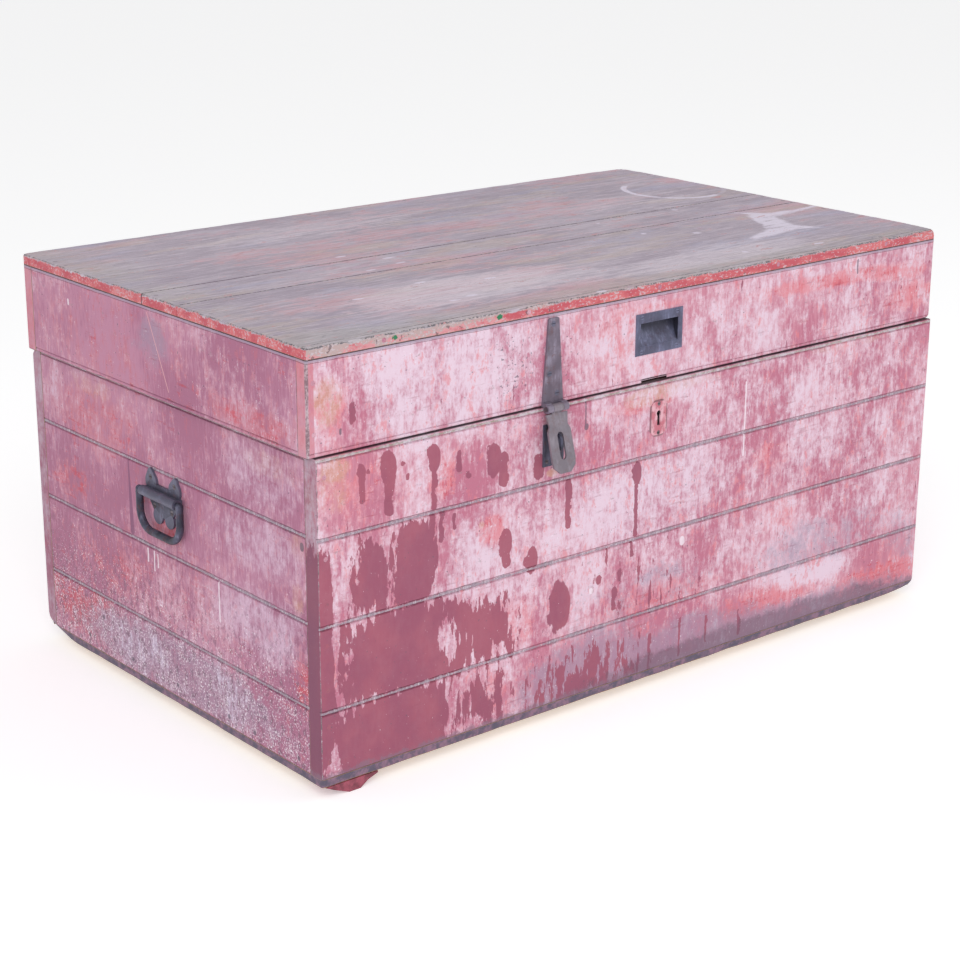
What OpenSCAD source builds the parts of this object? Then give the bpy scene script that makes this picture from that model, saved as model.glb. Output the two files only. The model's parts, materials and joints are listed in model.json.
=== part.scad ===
// Plank chest with a deep lift-up lid.
// The origin is on the floor, under the middle of the body. X runs left to right, Y front to back, Z up.

/* [Body] */
// Length of the body, left to right
body_l = 1000; // [820:1:1300]
// Depth of the body, front to back
body_d = 613; // [480:1:700]
// Height of the body, from the underside of the bottom boards to the rim
body_h = 378.5; // [350:0.5:420]
// Thickness of the front and back boards
front_t = 22; // [20:0.5:26]
// Thickness of the side boards
side_t = 20; // [17:0.5:26]
// Thickness of the bottom boards
bottom_t = 10; // [8:0.5:14]
// Height of the top board of each wall
top_board_h = 88.5; // [80:0.5:95]
// Face height of a full board
board_h = 99.5; // [90:0.5:105]
// Width of the gap between flat boards
plank_gap = 0.6; // [0.2:0.1:0.9]

/* [Board edges] */
// Radius of the bead on a board's edge
bead_r = 3; // [2:0.25:4]
// Width of the quirk beside the bead
quirk_w = 1.8; // [1:0.1:3]
// Depth of the quirk
quirk_d = 3; // [1.5:0.25:4]
// Thickness of a tongue
tongue_t = 6; // [4:0.5:8]
// Height of a tongue
tongue_h = 6; // [4:0.5:8]
// Clearance of a tongue in its groove
tongue_fit = 0.2; // [0.1:0.05:0.4]

/* [Underside] */
// Height of the bearers and of the corner foot
foot_h = 14; // [10:0.5:24]
// Width of a bearer
bearer_w = 58; // [40:1:80]
// Distance of the bearers' front ends behind the corner foot
bearer_behind = 2; // [1:0.5:30]
// Distance of the outer bearers' middles from the body's ends
bearer_end = 72; // [65:1:140]
// Depth of the corner foot, front to back
corner_foot_d = 40; // [30:1:80]
// Length of the corner foot along the front
corner_foot_l = 76; // [60:1:80]

/* [Lid] */
// How far the lid reaches past the body on the left
lid_over_left = 8.5; // [0:0.5:12]
// How far the lid reaches past the body on the right
lid_over_right = 2; // [0:0.5:12]
// How far the lid's front stands behind the body's front
lid_set_front = 3; // [0:0.5:4]
// How far the lid's back stands in front of the body's back
lid_set_back = 7; // [4:0.5:8]
// Gap between the rim and the lid
lid_gap = 0.8; // [0.4:0.1:1.2]
// Height of the lid's walls
lid_wall_h = 107.2; // [95:0.1:130]
// Thickness of the lid's front and side boards
lid_wall_t = 17; // [15:0.5:20]
// Thickness of the lid's back board
lid_back_t = 20; // [18:0.5:24]
// Thickness of the lid's top boards
lid_top_t = 12.5; // [10:0.5:18]
// Width of the strip along the top's front edge
nosing_w = 8.5; // [6:0.5:14]
// Width of the front top board
top_front_w = 238.5; // [160:0.5:240]
// Width of the middle top board
top_middle_w = 75; // [50:0.5:120]
// Radius of the lid's front left corner, in plan
lid_r_front_left = 3; // [1:0.5:10]
// Radius of the lid's front right corner, in plan
lid_r_front_right = 8; // [1:0.5:16]
// Radius of the lid's back right corner, in plan
lid_r_back_right = 15; // [1:0.5:16]
// Radius of the lid's back left corner, in plan
lid_r_back_left = 4; // [1:0.5:16]

/* [Lid hinges] */
// Angle to which the lid opens
lid_open = 100; // [92:1:110]
// Distance of each hinge's middle from the middle of the chest
hinge_x = 300; // [150:1:340]
// Distance of the hinge pins from the body's back
hinge_in = 10; // [9:0.5:11]
// Length of a hinge
leaf_l = 70; // [50:1:90]
// Width of a hinge leaf, from the pin
leaf_w = 11.5; // [10:0.25:11.5]
// Thickness of a hinge leaf
leaf_t = 2; // [1.6:0.1:2.4]
// Radius of a hinge's barrel
barrel_r = 4; // [3.2:0.1:4.2]
// Radius of a hinge pin
hinge_pin_r = 1.7; // [1.2:0.1:2]

/* [Hasp] */
// Distance of the hasp from the middle of the chest, to the left
hasp_left = 170; // [100:1:220]
// Height of the strap above the knuckle
strap_h = 100; // [70:1:101]
// Width of the strap at its foot
strap_w = 31; // [24:0.5:34]
// Width of the strap at its top
strap_top_w = 15.5; // [12:0.5:20]
// Thickness of the strap and the flap
hasp_t = 2.5; // [2:0.1:3]
// Width of the hasp's knuckle
knuckle_w = 31; // [30:0.5:40]
// Radius of the hasp's knuckle
knuckle_r = 5; // [4.5:0.1:5.5]
// Distance of the hasp's pin below the rim
hasp_drop = 0.6; // [-1:0.1:2]
// Length of the flap, from the pin
flap_l = 75.5; // [70:0.5:85]
// Width of the flap's slot
slot_w = 9; // [7:0.25:11]
// Length of the flap's slot
slot_l = 32; // [28:0.5:34]
// Distance of the slot's middle from the pin
slot_at = 44; // [42:0.5:48]
// Angle at which the flap stands off its closed place
flap_rest = 15; // [12:0.5:18]
// Width of the staple plate
staple_plate_w = 31; // [28:0.5:40]
// Height of the staple plate
staple_plate_h = 50; // [44:0.5:56]
// Thickness of the staple plate
staple_plate_t = 1.8; // [1.2:0.1:2.2]
// Radius of the staple's rod
staple_r = 2.1; // [1.8:0.1:2.4]
// Distance between the staple's legs
staple_span = 16; // [13:0.5:18]
// How far the staple stands out of the body's front
staple_out = 17; // [14:0.5:18]

/* [Flush pull] */
// Distance of the pull and the keyhole from the middle, to the left
lock_left = 2.5; // [0:0.5:20]
// Width of the pull's plate
pull_w = 76; // [70:1:84]
// Height of the pull's plate
pull_h = 50; // [48:0.5:60]
// Height of the pull's middle above the rim
pull_rise = 60.5; // [45:0.5:64]
// Width of the pull's opening
pull_open_w = 65; // [40:0.5:66]
// Height of the pull's opening
pull_open_h = 23; // [18:0.5:24]
// Depth of the pull's pocket behind the face of the lid
pull_depth = 12; // [9:0.5:13]

/* [Lock] */
// Width of the keyhole plate
plate_w = 27; // [22:0.5:34]
// Height of the keyhole plate
plate_h = 44.5; // [42:0.5:52]
// Distance of the keyhole plate's middle below the rim
plate_drop = 44.75; // [40:0.25:48]
// Radius of the keyhole's round end
key_r = 3.6; // [3:0.1:4]
// Width of the keyhole's slot
key_slot_w = 4.6; // [3.5:0.1:5]
// Length of the keyhole, from the middle of its round end
key_l = 15; // [10:0.5:16]
// Width of the lock case
case_w = 84; // [78:1:96]
// Height of the lock case
case_h = 62; // [60:0.5:70]
// Depth of the lock case
case_d = 13; // [13:0.5:16]
// Travel of the lock's bolt
bolt_travel = 7; // [5:0.5:8]

/* [Handles] */
// Distance of the handles' barrels below the top of the second side boards
handle_down = 30; // [30:0.5:50]
// Length of a handle's barrel
handle_barrel_l = 76; // [60:1:78]
// Radius of a handle's barrel
handle_barrel_r = 6; // [5.5:0.1:7]
// Distance of a handle's pin from the side
handle_off = 8; // [7.9:0.1:9]
// Thickness of a handle's plate
handle_plate_t = 3; // [2:0.1:3.2]
// Width of a bail, over all
bail_w = 97; // [96.5:0.5:112]
// Drop of a bail, from its pin to its lowest edge
bail_drop = 52; // [48:1:60]
// Radius of a bail's rod
bail_r = 4.6; // [3.5:0.1:4.7]
// Radius of a bail's bends
bail_bend = 24; // [12:0.5:26]
// Radius of a bail's pins
bail_pin_r = 2.98; // [2.5:0.02:3.1]

/* [Hidden] */
$fn = 48;
rows = 4;
flats = 3;
// Cut allowance and the radial clearances of nails, screws and pins in their holes
cut = 1;
snug = 0.05;
pin_fit = 0.07;

// Levels and faces of the body
walls_z = foot_h + bottom_t;
rim_z = foot_h + body_h;
front_y = -body_d / 2;
back_y = body_d / 2;
end_x = body_l / 2;
inner_front_y = front_y + front_t;

// Levels and faces of the lid
lid_z = rim_z + lid_gap;
slab_z = lid_z + lid_wall_h;
top_z = slab_z + lid_top_t;
lid_x0 = -end_x - lid_over_left;
lid_x1 = end_x + lid_over_right;
lid_y0 = front_y + lid_set_front;
lid_y1 = back_y - lid_set_back;
lid_l = lid_x1 - lid_x0;
lid_d = lid_y1 - lid_y0;
lid_cx = (lid_x0 + lid_x1) / 2;

// Nails
nail_r = 1.3;
nail_head_r = 2.8;
nail_head_h = 0.9;
wall_nail_l = 46;
bottom_nail_l = 34;
nail_cover = 2;
bearer_nail_l = foot_h + bottom_t - nail_cover;
lid_nail_l = 38;
top_nail_l = 36;
nosing_nail_l = 22;
// Places of the nails, as shares of a board's width or height
nail_share = 0.26;
bottom_nail_share = 0.22;
bearer_nail_share = [0.25, 0.12];
foot_nail_x_share = 0.6;
foot_nail_y_share = [0.3, 0.7];
nosing_nail_share = 0.45;

// Outline of the corner foot, as shares of its length and of its height from the floor
foot_outline = [[0.06, 1], [0.2, 0.62], [0.48, 0], [0.68, 0], [0.82, 0.52], [1, 0.86], [1, 1]];

// Screws: head radius, shank radius and length
iron_screw = [3.4, 1.7, 15];
small_screw = [2.6, 1.3, 12];
leaf_screw = [2.9, 1.3, 13];
screw_slot_w = 0.9;
screw_slot_d = 0.8;

// Lid hinge pin line
hinge_y = back_y - hinge_in;
hinge_z = rim_z + lid_gap / 2;
chamfer_back = 0.1;
barrel_room = 0.5;
leaf_room = 0.15;
knuckle_gap = 0.4;
barrel_share = 0.25;
pin_cap_h = 1.2;
pin_cap_r = 2.8;
leaf_head_room = 0.4;
leaf_screw_y = -(barrel_r + knuckle_gap + leaf_screw[0] + leaf_head_room);
leaf_screw_share = 0.34;
leaf_screw_pitch = leaf_l * leaf_screw_share;
hinge_room_l = leaf_l + 4 * pin_cap_h;
wedge_rise = 20;

// Hasp
hasp_x = -hasp_left;
hasp_face_gap = 0.7;
hasp_y = front_y - knuckle_r - hasp_face_gap;
hasp_z = rim_z - hasp_drop;
hasp_pin_r = 1.9;
hasp_pin_head_r = 2.9;
flap_knuckle_share = 0.46;
flap_knuckle_w = knuckle_w * flap_knuckle_share;
strap_foot_rise = 3;
strap_foot_z = hasp_z + strap_foot_rise;
strap_point = 1.5;
strap_point_share = 0.42;
strap_web_rise = 3;
strap_screw_share = [[0.187, 0.12], [-0.187, 0.36], [-0.03, 0.935]];
// Outline of the flap below its neck, as shares of its half width and of its length
flap_neck_room = 1.5;
flap_neck = knuckle_r + flap_neck_room;
flap_half_share = 0.56;
flap_half = knuckle_w * flap_half_share;
flap_neck_share = 0.93;
flap_edge = [[0.78, 0.27], [0.97, 0.35], [1, 0.8], [0.92, 0.9], [0.45, 1]];
flap_in = 2.4;
staple_low = -3.5;
staple_z = hasp_z - slot_at - staple_low;
staple_plate_low = 0.6;
staple_plate_z = hasp_z - slot_at - staple_plate_low;
staple_in = 12;
staple_bend = 4.5;
staple_screw_in = [5.5, 6];
staple_screw_x = staple_plate_w / 2 - staple_screw_in[0];
staple_screw_z = staple_plate_h / 2 - staple_screw_in[1];

// Flush pull
lock_x = -lock_left;
pull_z = rim_z + pull_rise;
pull_t = 2;
pull_proud = 1;
pull_wall = 1.2;
pull_open_z = -1.5;
pull_grip = 6;
pull_screw_in = [9.5, 4.4];
pull_screw_x = pull_w / 2 - pull_screw_in[0];
pull_screw_z = pull_h / 2 - pull_screw_in[1];

// Keyhole plate and lock
plate_t = 1.2;
plate_chamfer = 7;
plate_z = rim_z - plate_drop;
key_rise = 6;
key_z = plate_z + key_rise;
plate_screw_in = 4.4;
plate_screw_z = plate_h / 2 - plate_screw_in;
case_t = 1.5;
selvedge_t = 2;
selvedge_d = 9;
selvedge_side = 3;
flange_w = 9;
flange_t = 1.8;
flange_h = 40;
flange_screw_z = 12;
tab_t = 3;
tab_d = 7;
tab_pitch = 24;
tab_room = 0.8;
tab_drop = 14;
tab_behind = 1;
tab_y = inner_front_y + tab_behind;
tab_lap = 2;
tab_hole_r = 2.4;
prong_r = 2;
prong_short = 1.2;
prong_spare = 1;
prong_l = bolt_travel + prong_spare;
prong_drop = 9;
prong_z = rim_z - prong_drop;
prong_y = tab_y + tab_d / 2;
bolt_t = 1.6;
bolt_h = 8;
bolt_room = 0.3;
bolt_back_y = inner_front_y + case_d - case_t - bolt_room;
bolt_arm_w = 3;
bolt_end = 6;
ledge_d = 3;
ledge_h = 2;
link_w = 46;
link_t = 2;
link_h = 20;
link_rise = 1;
link_screw_x = 18;
notch_w = 44;
notch_h = 4.5;

// Handles, drawn with the barrel's middle at the origin
handle_lobe = [[25.5, 12], 12];
handle_lobe_tip = [[27, 24], 4.5];
handle_plate_top = 11;
handle_shoulder_y = -2;
handle_plate_x = 36;
handle_waist_x = 20;
handle_plate_low = 22;
handle_curl_r = 10;
handle_curl_x = 12.5;
handle_curl_y = 27;
handle_web = 4.5;
handle_screws = [[-26, 18], [26, 18], [-19, -16], [19, -16]];

// Colours
paint = [0.74, 0.42, 0.45];
side_paint = [0.68, 0.40, 0.46];
top_paint = [0.58, 0.44, 0.42];
pine = [0.72, 0.58, 0.42];
iron = [0.22, 0.22, 0.27];
steel = [0.36, 0.34, 0.34];
brass = [0.55, 0.45, 0.25];

// Placing: the child's +Z points out of the named face
module on_front(x, y, z) translate([x, y, z]) rotate([90, 0, 0]) children();
module on_back(x, y, z) translate([x, y, z]) rotate([90, 0, 180]) children();
module on_left(x, y, z) translate([x, y, z]) rotate([90, 0, -90]) children();
module on_right(x, y, z) translate([x, y, z]) rotate([90, 0, 90]) children();
module lay_x(len) rotate([90, 0, 90]) linear_extrude(height = len, center = true) children();
module lay_y(len) rotate([90, 0, 0]) linear_extrude(height = len, center = true) children();
module lay_box(from, to) translate(from) cube(to - from);

// Fasteners, with the top of the head at the origin and the point down
module nail(len, room = 0) {
    head_over = room > 0 ? cut : 0;
    translate([0, 0, -nail_head_h]) cylinder(h = nail_head_h + head_over, r = nail_head_r + room);
    translate([0, 0, -len - room]) cylinder(h = len + room - nail_head_h / 2, r = nail_r + room);
}
module screw_body(size, room) {
    head_h = size[0] - size[1];
    translate([0, 0, -head_h]) cylinder(h = head_h, r1 = size[1] + room, r2 = size[0] + room);
    translate([0, 0, -size[2] - room]) cylinder(h = size[2] + room - head_h / 2, r = size[1] + room);
}
module screw(size) {
    difference() {
        screw_body(size, 0);
        translate([-size[0] - cut, -screw_slot_w / 2, -screw_slot_d])
            cube([2 * (size[0] + cut), screw_slot_w, screw_slot_d + cut]);
    }
}
module screw_hole(size) {
    screw_body(size, snug);
    cylinder(h = cut, r = size[0] + snug);
}

// Section of a wall board: x runs from the inner face to the outer face, y upwards
module board_section(h, t, tongue, groove) {
    difference() {
        union() {
            square([t, h]);
            if (tongue) translate([(t - tongue_t) / 2, h - cut]) square([tongue_t, tongue_h + cut]);
        }
        translate([t - bead_r, h - 2 * bead_r]) square([bead_r + cut, 2 * bead_r + cut]);
        translate([t - quirk_d, h - 2 * bead_r - quirk_w]) square([quirk_d + cut, quirk_w]);
        if (groove) translate([(t - tongue_t) / 2 - tongue_fit, -cut])
            square([tongue_t + 2 * tongue_fit, tongue_h + tongue_fit + cut]);
    }
    translate([t - bead_r, h - bead_r]) circle(r = bead_r);
}

// Level of the top and of the bottom of board i, counted from the rim
function board_top(i) = i == 1 ? rim_z : rim_z - top_board_h - (i - 2) * board_h;
function board_low(i) = i < rows ? board_top(i + 1) : walls_z;
function board_size(i) = board_top(i) - board_low(i);
function board_nail_z(i, s) = (board_top(i) + board_low(i)) / 2 + s * board_size(i) * nail_share;

module wall_section(i, t) board_section(board_size(i), t, i > 1, i < rows);
module front_plank(i) mirror([0, 1, 0]) back_plank(i);
module back_plank(i) translate([0, back_y - front_t, board_low(i)]) lay_x(body_l) wall_section(i, front_t);
module right_plank(i)
    translate([end_x - side_t, 0, board_low(i)]) lay_y(body_d - 2 * front_t) wall_section(i, side_t);
module left_plank(i) mirror([1, 0, 0]) right_plank(i);

// Nails that hold the front and back boards to the side boards
module corner_nails(i, room = 0) {
    for (sx = [-1, 1], sz = [-1, 1]) {
        on_front(sx * (end_x - side_t / 2), front_y, board_nail_z(i, sz)) nail(wall_nail_l, room);
        on_back(sx * (end_x - side_t / 2), back_y, board_nail_z(i, sz)) nail(wall_nail_l, room);
    }
}

// Bottom boards run lengthwise, bearers run across them
bottom_w = body_d / flats;
function bottom_y(j) = front_y + (j - 0.5) * bottom_w;
function bearer_x(k) = (k - 2) * (end_x - bearer_end);
bearer_l = body_d - 2 * (corner_foot_d + bearer_behind);
long_nails = 6;
function spread(k, count, length) = -length / 2 + (k - 0.5) * length / count;

module bottom_nails(room = 0) {
    for (k = [1:long_nails], s = [-1, 1])
        translate([spread(k, long_nails, body_l - 2 * side_t), s * (back_y - front_t / 2), foot_h])
            mirror([0, 0, 1]) nail(bottom_nail_l, room);
    for (j = [1:flats], sx = [-1, 1], sy = [-1, 1])
        translate([sx * (end_x - side_t / 2), bottom_y(j) + sy * bottom_w * bottom_nail_share, foot_h])
            mirror([0, 0, 1]) nail(bottom_nail_l, room);
}
module bearer_nails(k, room = 0) {
    for (j = [1:flats], s = [-1, 1]) {
        x = bearer_x(k) + s * bearer_w * bearer_nail_share[0];
        y = bottom_y(j) - s * bottom_w * bearer_nail_share[1];
        translate([x, y, 0]) mirror([0, 0, 1]) nail(bearer_nail_l, room);
    }
}
module foot_nails(room = 0) {
    x = -end_x + corner_foot_l * foot_nail_x_share;
    for (share = foot_nail_y_share) translate([x, front_y + corner_foot_d * share, 0])
        mirror([0, 0, 1]) nail(bearer_nail_l, room);
}

module front_board(i) {
    color(paint) difference() {
        front_plank(i);
        corner_nails(i, snug);
        if (i == rows) bottom_nails(snug);
        if (i == 1) {
            staple_holes();
            keyhole_cut(inner_front_y + cut);
            keyhole_fasteners(true);
            lock_fasteners(true);
            lock_recess();
        }
    }
}
module back_board(i) {
    color(paint) difference() {
        back_plank(i);
        corner_nails(i, snug);
        if (i == rows) bottom_nails(snug);
        if (i == 1) {
            rim_chamfer();
            hinge_room(-1);
            body_leaf_fasteners(true);
        }
    }
}
module side_holes(i) {
    corner_nails(i, snug);
    if (i == rows) bottom_nails(snug);
    handle_fasteners(true);
}
module left_board(i) color(side_paint) difference() {
    left_plank(i);
    side_holes(i);
}
module right_board(i) color(side_paint) difference() {
    right_plank(i);
    side_holes(i);
}
module bottom_board(j) {
    color(pine) difference() {
        translate([-end_x, bottom_y(j) - bottom_w / 2 + (j > 1 ? plank_gap / 2 : 0), foot_h])
            cube([body_l, bottom_w - (j == 2 ? plank_gap : plank_gap / 2), bottom_t]);
        bottom_nails(snug);
        for (k = [1:flats]) bearer_nails(k, snug);
        if (j == 1) foot_nails(snug);
    }
}
module bearer(k) {
    color(pine) difference() {
        translate([bearer_x(k) - bearer_w / 2, -bearer_l / 2, 0]) cube([bearer_w, bearer_l, foot_h]);
        bearer_nails(k, snug);
    }
}

// The worn foot under the front left corner
module corner_foot() {
    color(paint) difference() {
        translate([-end_x, front_y + corner_foot_d / 2, 0]) lay_y(corner_foot_d)
            polygon([for (p = foot_outline) [p[0] * corner_foot_l, p[1] * foot_h]]);
        foot_nails(snug);
    }
}

module body_nails() {
    color(steel) {
        for (i = [1:rows]) corner_nails(i);
        bottom_nails();
        for (k = [1:flats]) bearer_nails(k);
        foot_nails();
    }
}

// Outline of the lid in plan, with a round corner of its own radius at each corner
module lid_plan() {
    polygon([
        [lid_x0, lid_y0 + lid_r_front_left], [lid_x0 + lid_r_front_left, lid_y0],
        [lid_x1 - lid_r_front_right, lid_y0], [lid_x1, lid_y0 + lid_r_front_right],
        [lid_x1, lid_y1 - lid_r_back_right], [lid_x1 - lid_r_back_right, lid_y1],
        [lid_x0 + lid_r_back_left, lid_y1], [lid_x0, lid_y1 - lid_r_back_left]]);
    translate([lid_x0 + lid_r_front_left, lid_y0 + lid_r_front_left]) circle(r = lid_r_front_left);
    translate([lid_x1 - lid_r_front_right, lid_y0 + lid_r_front_right]) circle(r = lid_r_front_right);
    translate([lid_x1 - lid_r_back_right, lid_y1 - lid_r_back_right]) circle(r = lid_r_back_right);
    translate([lid_x0 + lid_r_back_left, lid_y1 - lid_r_back_left]) circle(r = lid_r_back_left);
}
module lid_block() translate([0, 0, lid_z]) linear_extrude(height = lid_wall_h + lid_top_t) lid_plan();

// A lid board has its bead along the lower edge
module lid_section(t) translate([0, lid_wall_h]) mirror([0, 1]) board_section(lid_wall_h, t, false, false);
module lid_side() {
    translate([lid_x1 - lid_wall_t, lid_side_cy, lid_z]) lay_y(lid_side_l) lid_section(lid_wall_t);
}
lid_side_l = lid_d - lid_wall_t - lid_back_t;
lid_side_cy = (lid_y0 + lid_wall_t + lid_y1 - lid_back_t) / 2;

module lid_corner_nails(room = 0) {
    for (sz = [-1, 1]) {
        z = lid_z + lid_wall_h * (0.5 + sz * nail_share);
        for (x = [lid_x0 + lid_wall_t / 2, lid_x1 - lid_wall_t / 2]) {
            on_front(x, lid_y0, z) nail(lid_nail_l, room);
            on_back(x, lid_y1, z) nail(lid_nail_l, room);
        }
    }
}
top_seam_1 = lid_y0 + nosing_w + top_front_w;
top_seam_2 = top_seam_1 + top_middle_w;
top_edges = [lid_y0 + nosing_w, top_seam_1, top_seam_2, lid_y1];
function top_w(j) = top_edges[j] - top_edges[j - 1];
function top_mid(j) = (top_edges[j] + top_edges[j - 1]) / 2;
module top_nails(room = 0) {
    for (j = [1:flats], x = [lid_x0 + lid_wall_t / 2, lid_x1 - lid_wall_t / 2], s = [-1, 1])
        translate([x, top_mid(j) + s * top_w(j) * nail_share, top_z]) nail(top_nail_l, room);
    for (k = [1:long_nails]) {
        x = lid_cx + spread(k, long_nails, lid_l - 2 * lid_wall_t);
        translate([x, (lid_y0 + nosing_w + lid_y0 + lid_wall_t) / 2, top_z]) nail(top_nail_l, room);
        translate([x, lid_y1 - lid_back_t / 2, top_z]) nail(top_nail_l, room);
    }
}
module nosing_nails(room = 0) {
    for (k = [1:long_nails - 1])
        on_front(lid_cx + spread(k, long_nails - 1, lid_l), lid_y0, slab_z + lid_top_t * nosing_nail_share)
            nail(nosing_nail_l, room);
}
module lid_front_board() {
    color(paint) difference() {
        intersection() {
            mirror([0, 1, 0]) translate([lid_cx, -lid_y0 - lid_wall_t, lid_z])
                lay_x(lid_l) lid_section(lid_wall_t);
            lid_block();
        }
        lid_corner_nails(snug);
        top_nails(snug);
        strap_fasteners(true);
        pull_fasteners(true);
        pull_room();
        link_fasteners(true);
        lock_box(notch_w, lid_y0 - cut, lid_y0 + lid_wall_t + cut, lid_z - cut, lid_z + notch_h);
    }
}
module lid_back_board() {
    color(paint) difference() {
        intersection() {
            translate([lid_cx, lid_y1 - lid_back_t, lid_z]) lay_x(lid_l) lid_section(lid_back_t);
            lid_block();
        }
        lid_corner_nails(snug);
        top_nails(snug);
        lid_chamfer();
        hinge_room(1);
        lid_leaf_fasteners(true);
    }
}
module lid_left_board() {
    color(side_paint) difference() {
        translate([lid_x0 + lid_x1, 0, 0]) mirror([1, 0, 0]) lid_side();
        lid_corner_nails(snug);
        top_nails(snug);
    }
}
module lid_right_board() {
    color(side_paint) difference() {
        lid_side();
        lid_corner_nails(snug);
        top_nails(snug);
    }
}
// The part of the lid's top between two lines across its depth
module top_piece(y0, y1) {
    intersection() {
        translate([0, 0, slab_z]) linear_extrude(height = lid_top_t) lid_plan();
        lay_box([lid_x0 - cut, y0, slab_z - cut], [lid_x1 + cut, y1, top_z + cut]);
    }
}
module lid_top_board(j) {
    y0 = top_edges[j - 1] + (j > 1 ? plank_gap / 2 : 0);
    y1 = top_edges[j] - (j < flats ? plank_gap / 2 : -cut);
    color(top_paint) difference() {
        top_piece(y0, y1);
        top_nails(snug);
        if (j == 1) nosing_nails(snug);
    }
}
module lid_nosing() {
    color(top_paint) difference() {
        top_piece(lid_y0 - cut, lid_y0 + nosing_w);
        nosing_nails(snug);
    }
}
module lid_nails() {
    color(steel) {
        lid_corner_nails();
        top_nails();
        nosing_nails();
    }
}

// Lid hinges. Both rims fall away behind the pins at half the opening angle, and meet when the lid is open.
chamfer_slope = tan(lid_open / 2);
module chamfer_wedge(reach) {
    y0 = -chamfer_back;
    z0 = -lid_gap / 2;
    lay_x(body_l * 2) polygon([
        [y0, z0], [reach, z0 - (reach - y0) * chamfer_slope], [reach, wedge_rise], [y0, wedge_rise]]);
}
module rim_chamfer() translate([0, hinge_y, hinge_z]) chamfer_wedge(hinge_in + cut);
module lid_chamfer() translate([0, hinge_y, hinge_z]) mirror([0, 0, 1]) chamfer_wedge(hinge_in + cut);
module barrel(len, r) rotate([0, 90, 0]) cylinder(h = len, r = r, center = true);
module at_hinges() for (s = [-1, 1]) translate([s * hinge_x, hinge_y, hinge_z]) children();
module hinge_room(side) {
    at_hinges() {
        barrel(hinge_room_l, barrel_r + barrel_room);
        translate([-leaf_l / 2 - leaf_room, -leaf_w - leaf_room, side > 0 ? -cut : -lid_gap / 2 - leaf_t])
            cube([leaf_l + 2 * leaf_room, leaf_w + leaf_room, leaf_t + lid_gap / 2 + cut]);
    }
}
side_knuckle = leaf_l * barrel_share;
mid_knuckle = leaf_l - 2 * side_knuckle - 2 * knuckle_gap;
module leaf_screw_places() {
    for (k = [-1:1]) translate([k * leaf_screw_pitch, leaf_screw_y, 0]) children();
}
// One leaf, with its plate below the pin; own is true for the two outer knuckles
module leaf(own) {
    side_x = (leaf_l - side_knuckle) / 2;
    difference() {
        union() {
            translate([-leaf_l / 2, -leaf_w, -lid_gap / 2 - leaf_t]) cube([leaf_l, leaf_w, leaf_t]);
            if (own) for (s = [-1, 1]) translate([s * side_x, 0, 0]) barrel(side_knuckle, barrel_r);
            else barrel(mid_knuckle, barrel_r);
        }
        if (own) barrel(mid_knuckle + 2 * knuckle_gap, barrel_r + knuckle_gap);
        else for (s = [-1, 1]) translate([s * side_x, 0, 0])
            barrel(side_knuckle + 2 * knuckle_gap, barrel_r + knuckle_gap);
        barrel(leaf_l + 2 * cut, hinge_pin_r + snug);
        leaf_screw_places() translate([0, 0, -lid_gap / 2]) screw_hole(leaf_screw);
    }
}
module body_leaf(s) color(iron) translate([s * hinge_x, hinge_y, hinge_z]) leaf(true);
module lid_leaf(s) color(iron) translate([s * hinge_x, hinge_y, hinge_z]) mirror([0, 0, 1]) leaf(false);
module hinge_pins() {
    color(steel) at_hinges() {
        barrel(leaf_l + pin_cap_h, hinge_pin_r);
        for (s = [-1, 1]) translate([s * (leaf_l + pin_cap_h) / 2, 0, 0]) barrel(pin_cap_h, pin_cap_r);
    }
}
module body_leaf_fasteners(hole) {
    at_hinges() leaf_screw_places() translate([0, 0, -lid_gap / 2]) fastener(leaf_screw, hole);
}
module lid_leaf_fasteners(hole) {
    at_hinges() mirror([0, 0, 1]) leaf_screw_places() translate([0, 0, -lid_gap / 2])
        fastener(leaf_screw, hole);
}
module fastener(size, hole) {
    if (hole) screw_hole(size);
    else screw(size);
}

// Hasp
module strap_fasteners(hole) {
    for (p = strap_screw_share)
        on_front(hasp_x + p[0] * strap_w, lid_y0 - hasp_t, strap_foot_z + p[1] * strap_h)
        fastener(iron_screw, hole);
}
module hasp_strap() {
    color(iron) difference() {
        union() {
            on_front(hasp_x, lid_y0, strap_foot_z) linear_extrude(height = hasp_t) polygon([
                [-strap_w / 2, 0], [strap_w / 2, 0],
                [strap_top_w / 2, strap_h - strap_point], [strap_top_w * strap_point_share, strap_h],
                [-strap_top_w * strap_point_share, strap_h], [-strap_top_w / 2, strap_h - strap_point]]);
            lay_box([hasp_x - knuckle_w / 2, hasp_y, lid_z],
                [hasp_x + knuckle_w / 2, lid_y0, strap_foot_z + strap_web_rise]);
            translate([hasp_x, hasp_y, hasp_z]) barrel(knuckle_w, knuckle_r);
        }
        translate([hasp_x, hasp_y, hasp_z]) {
            barrel(flap_knuckle_w + 2 * knuckle_gap, knuckle_r + knuckle_gap);
            barrel(knuckle_w + 2 * cut, hasp_pin_r + snug);
        }
        translate([hasp_x - flap_knuckle_w / 2 - knuckle_gap, hasp_y - cut, hasp_z])
            cube([flap_knuckle_w + 2 * knuckle_gap, knuckle_r + knuckle_gap + cut, strap_h]);
        strap_fasteners(true);
    }
}
module strap_screws() color(steel) strap_fasteners(false);
module hasp_pin() {
    color(steel) translate([hasp_x, hasp_y, hasp_z]) {
        barrel(knuckle_w, hasp_pin_r);
        for (s = [-1, 1]) translate([s * (knuckle_w + pin_cap_h) / 2, 0, 0])
            barrel(pin_cap_h, hasp_pin_head_r);
    }
}
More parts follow.
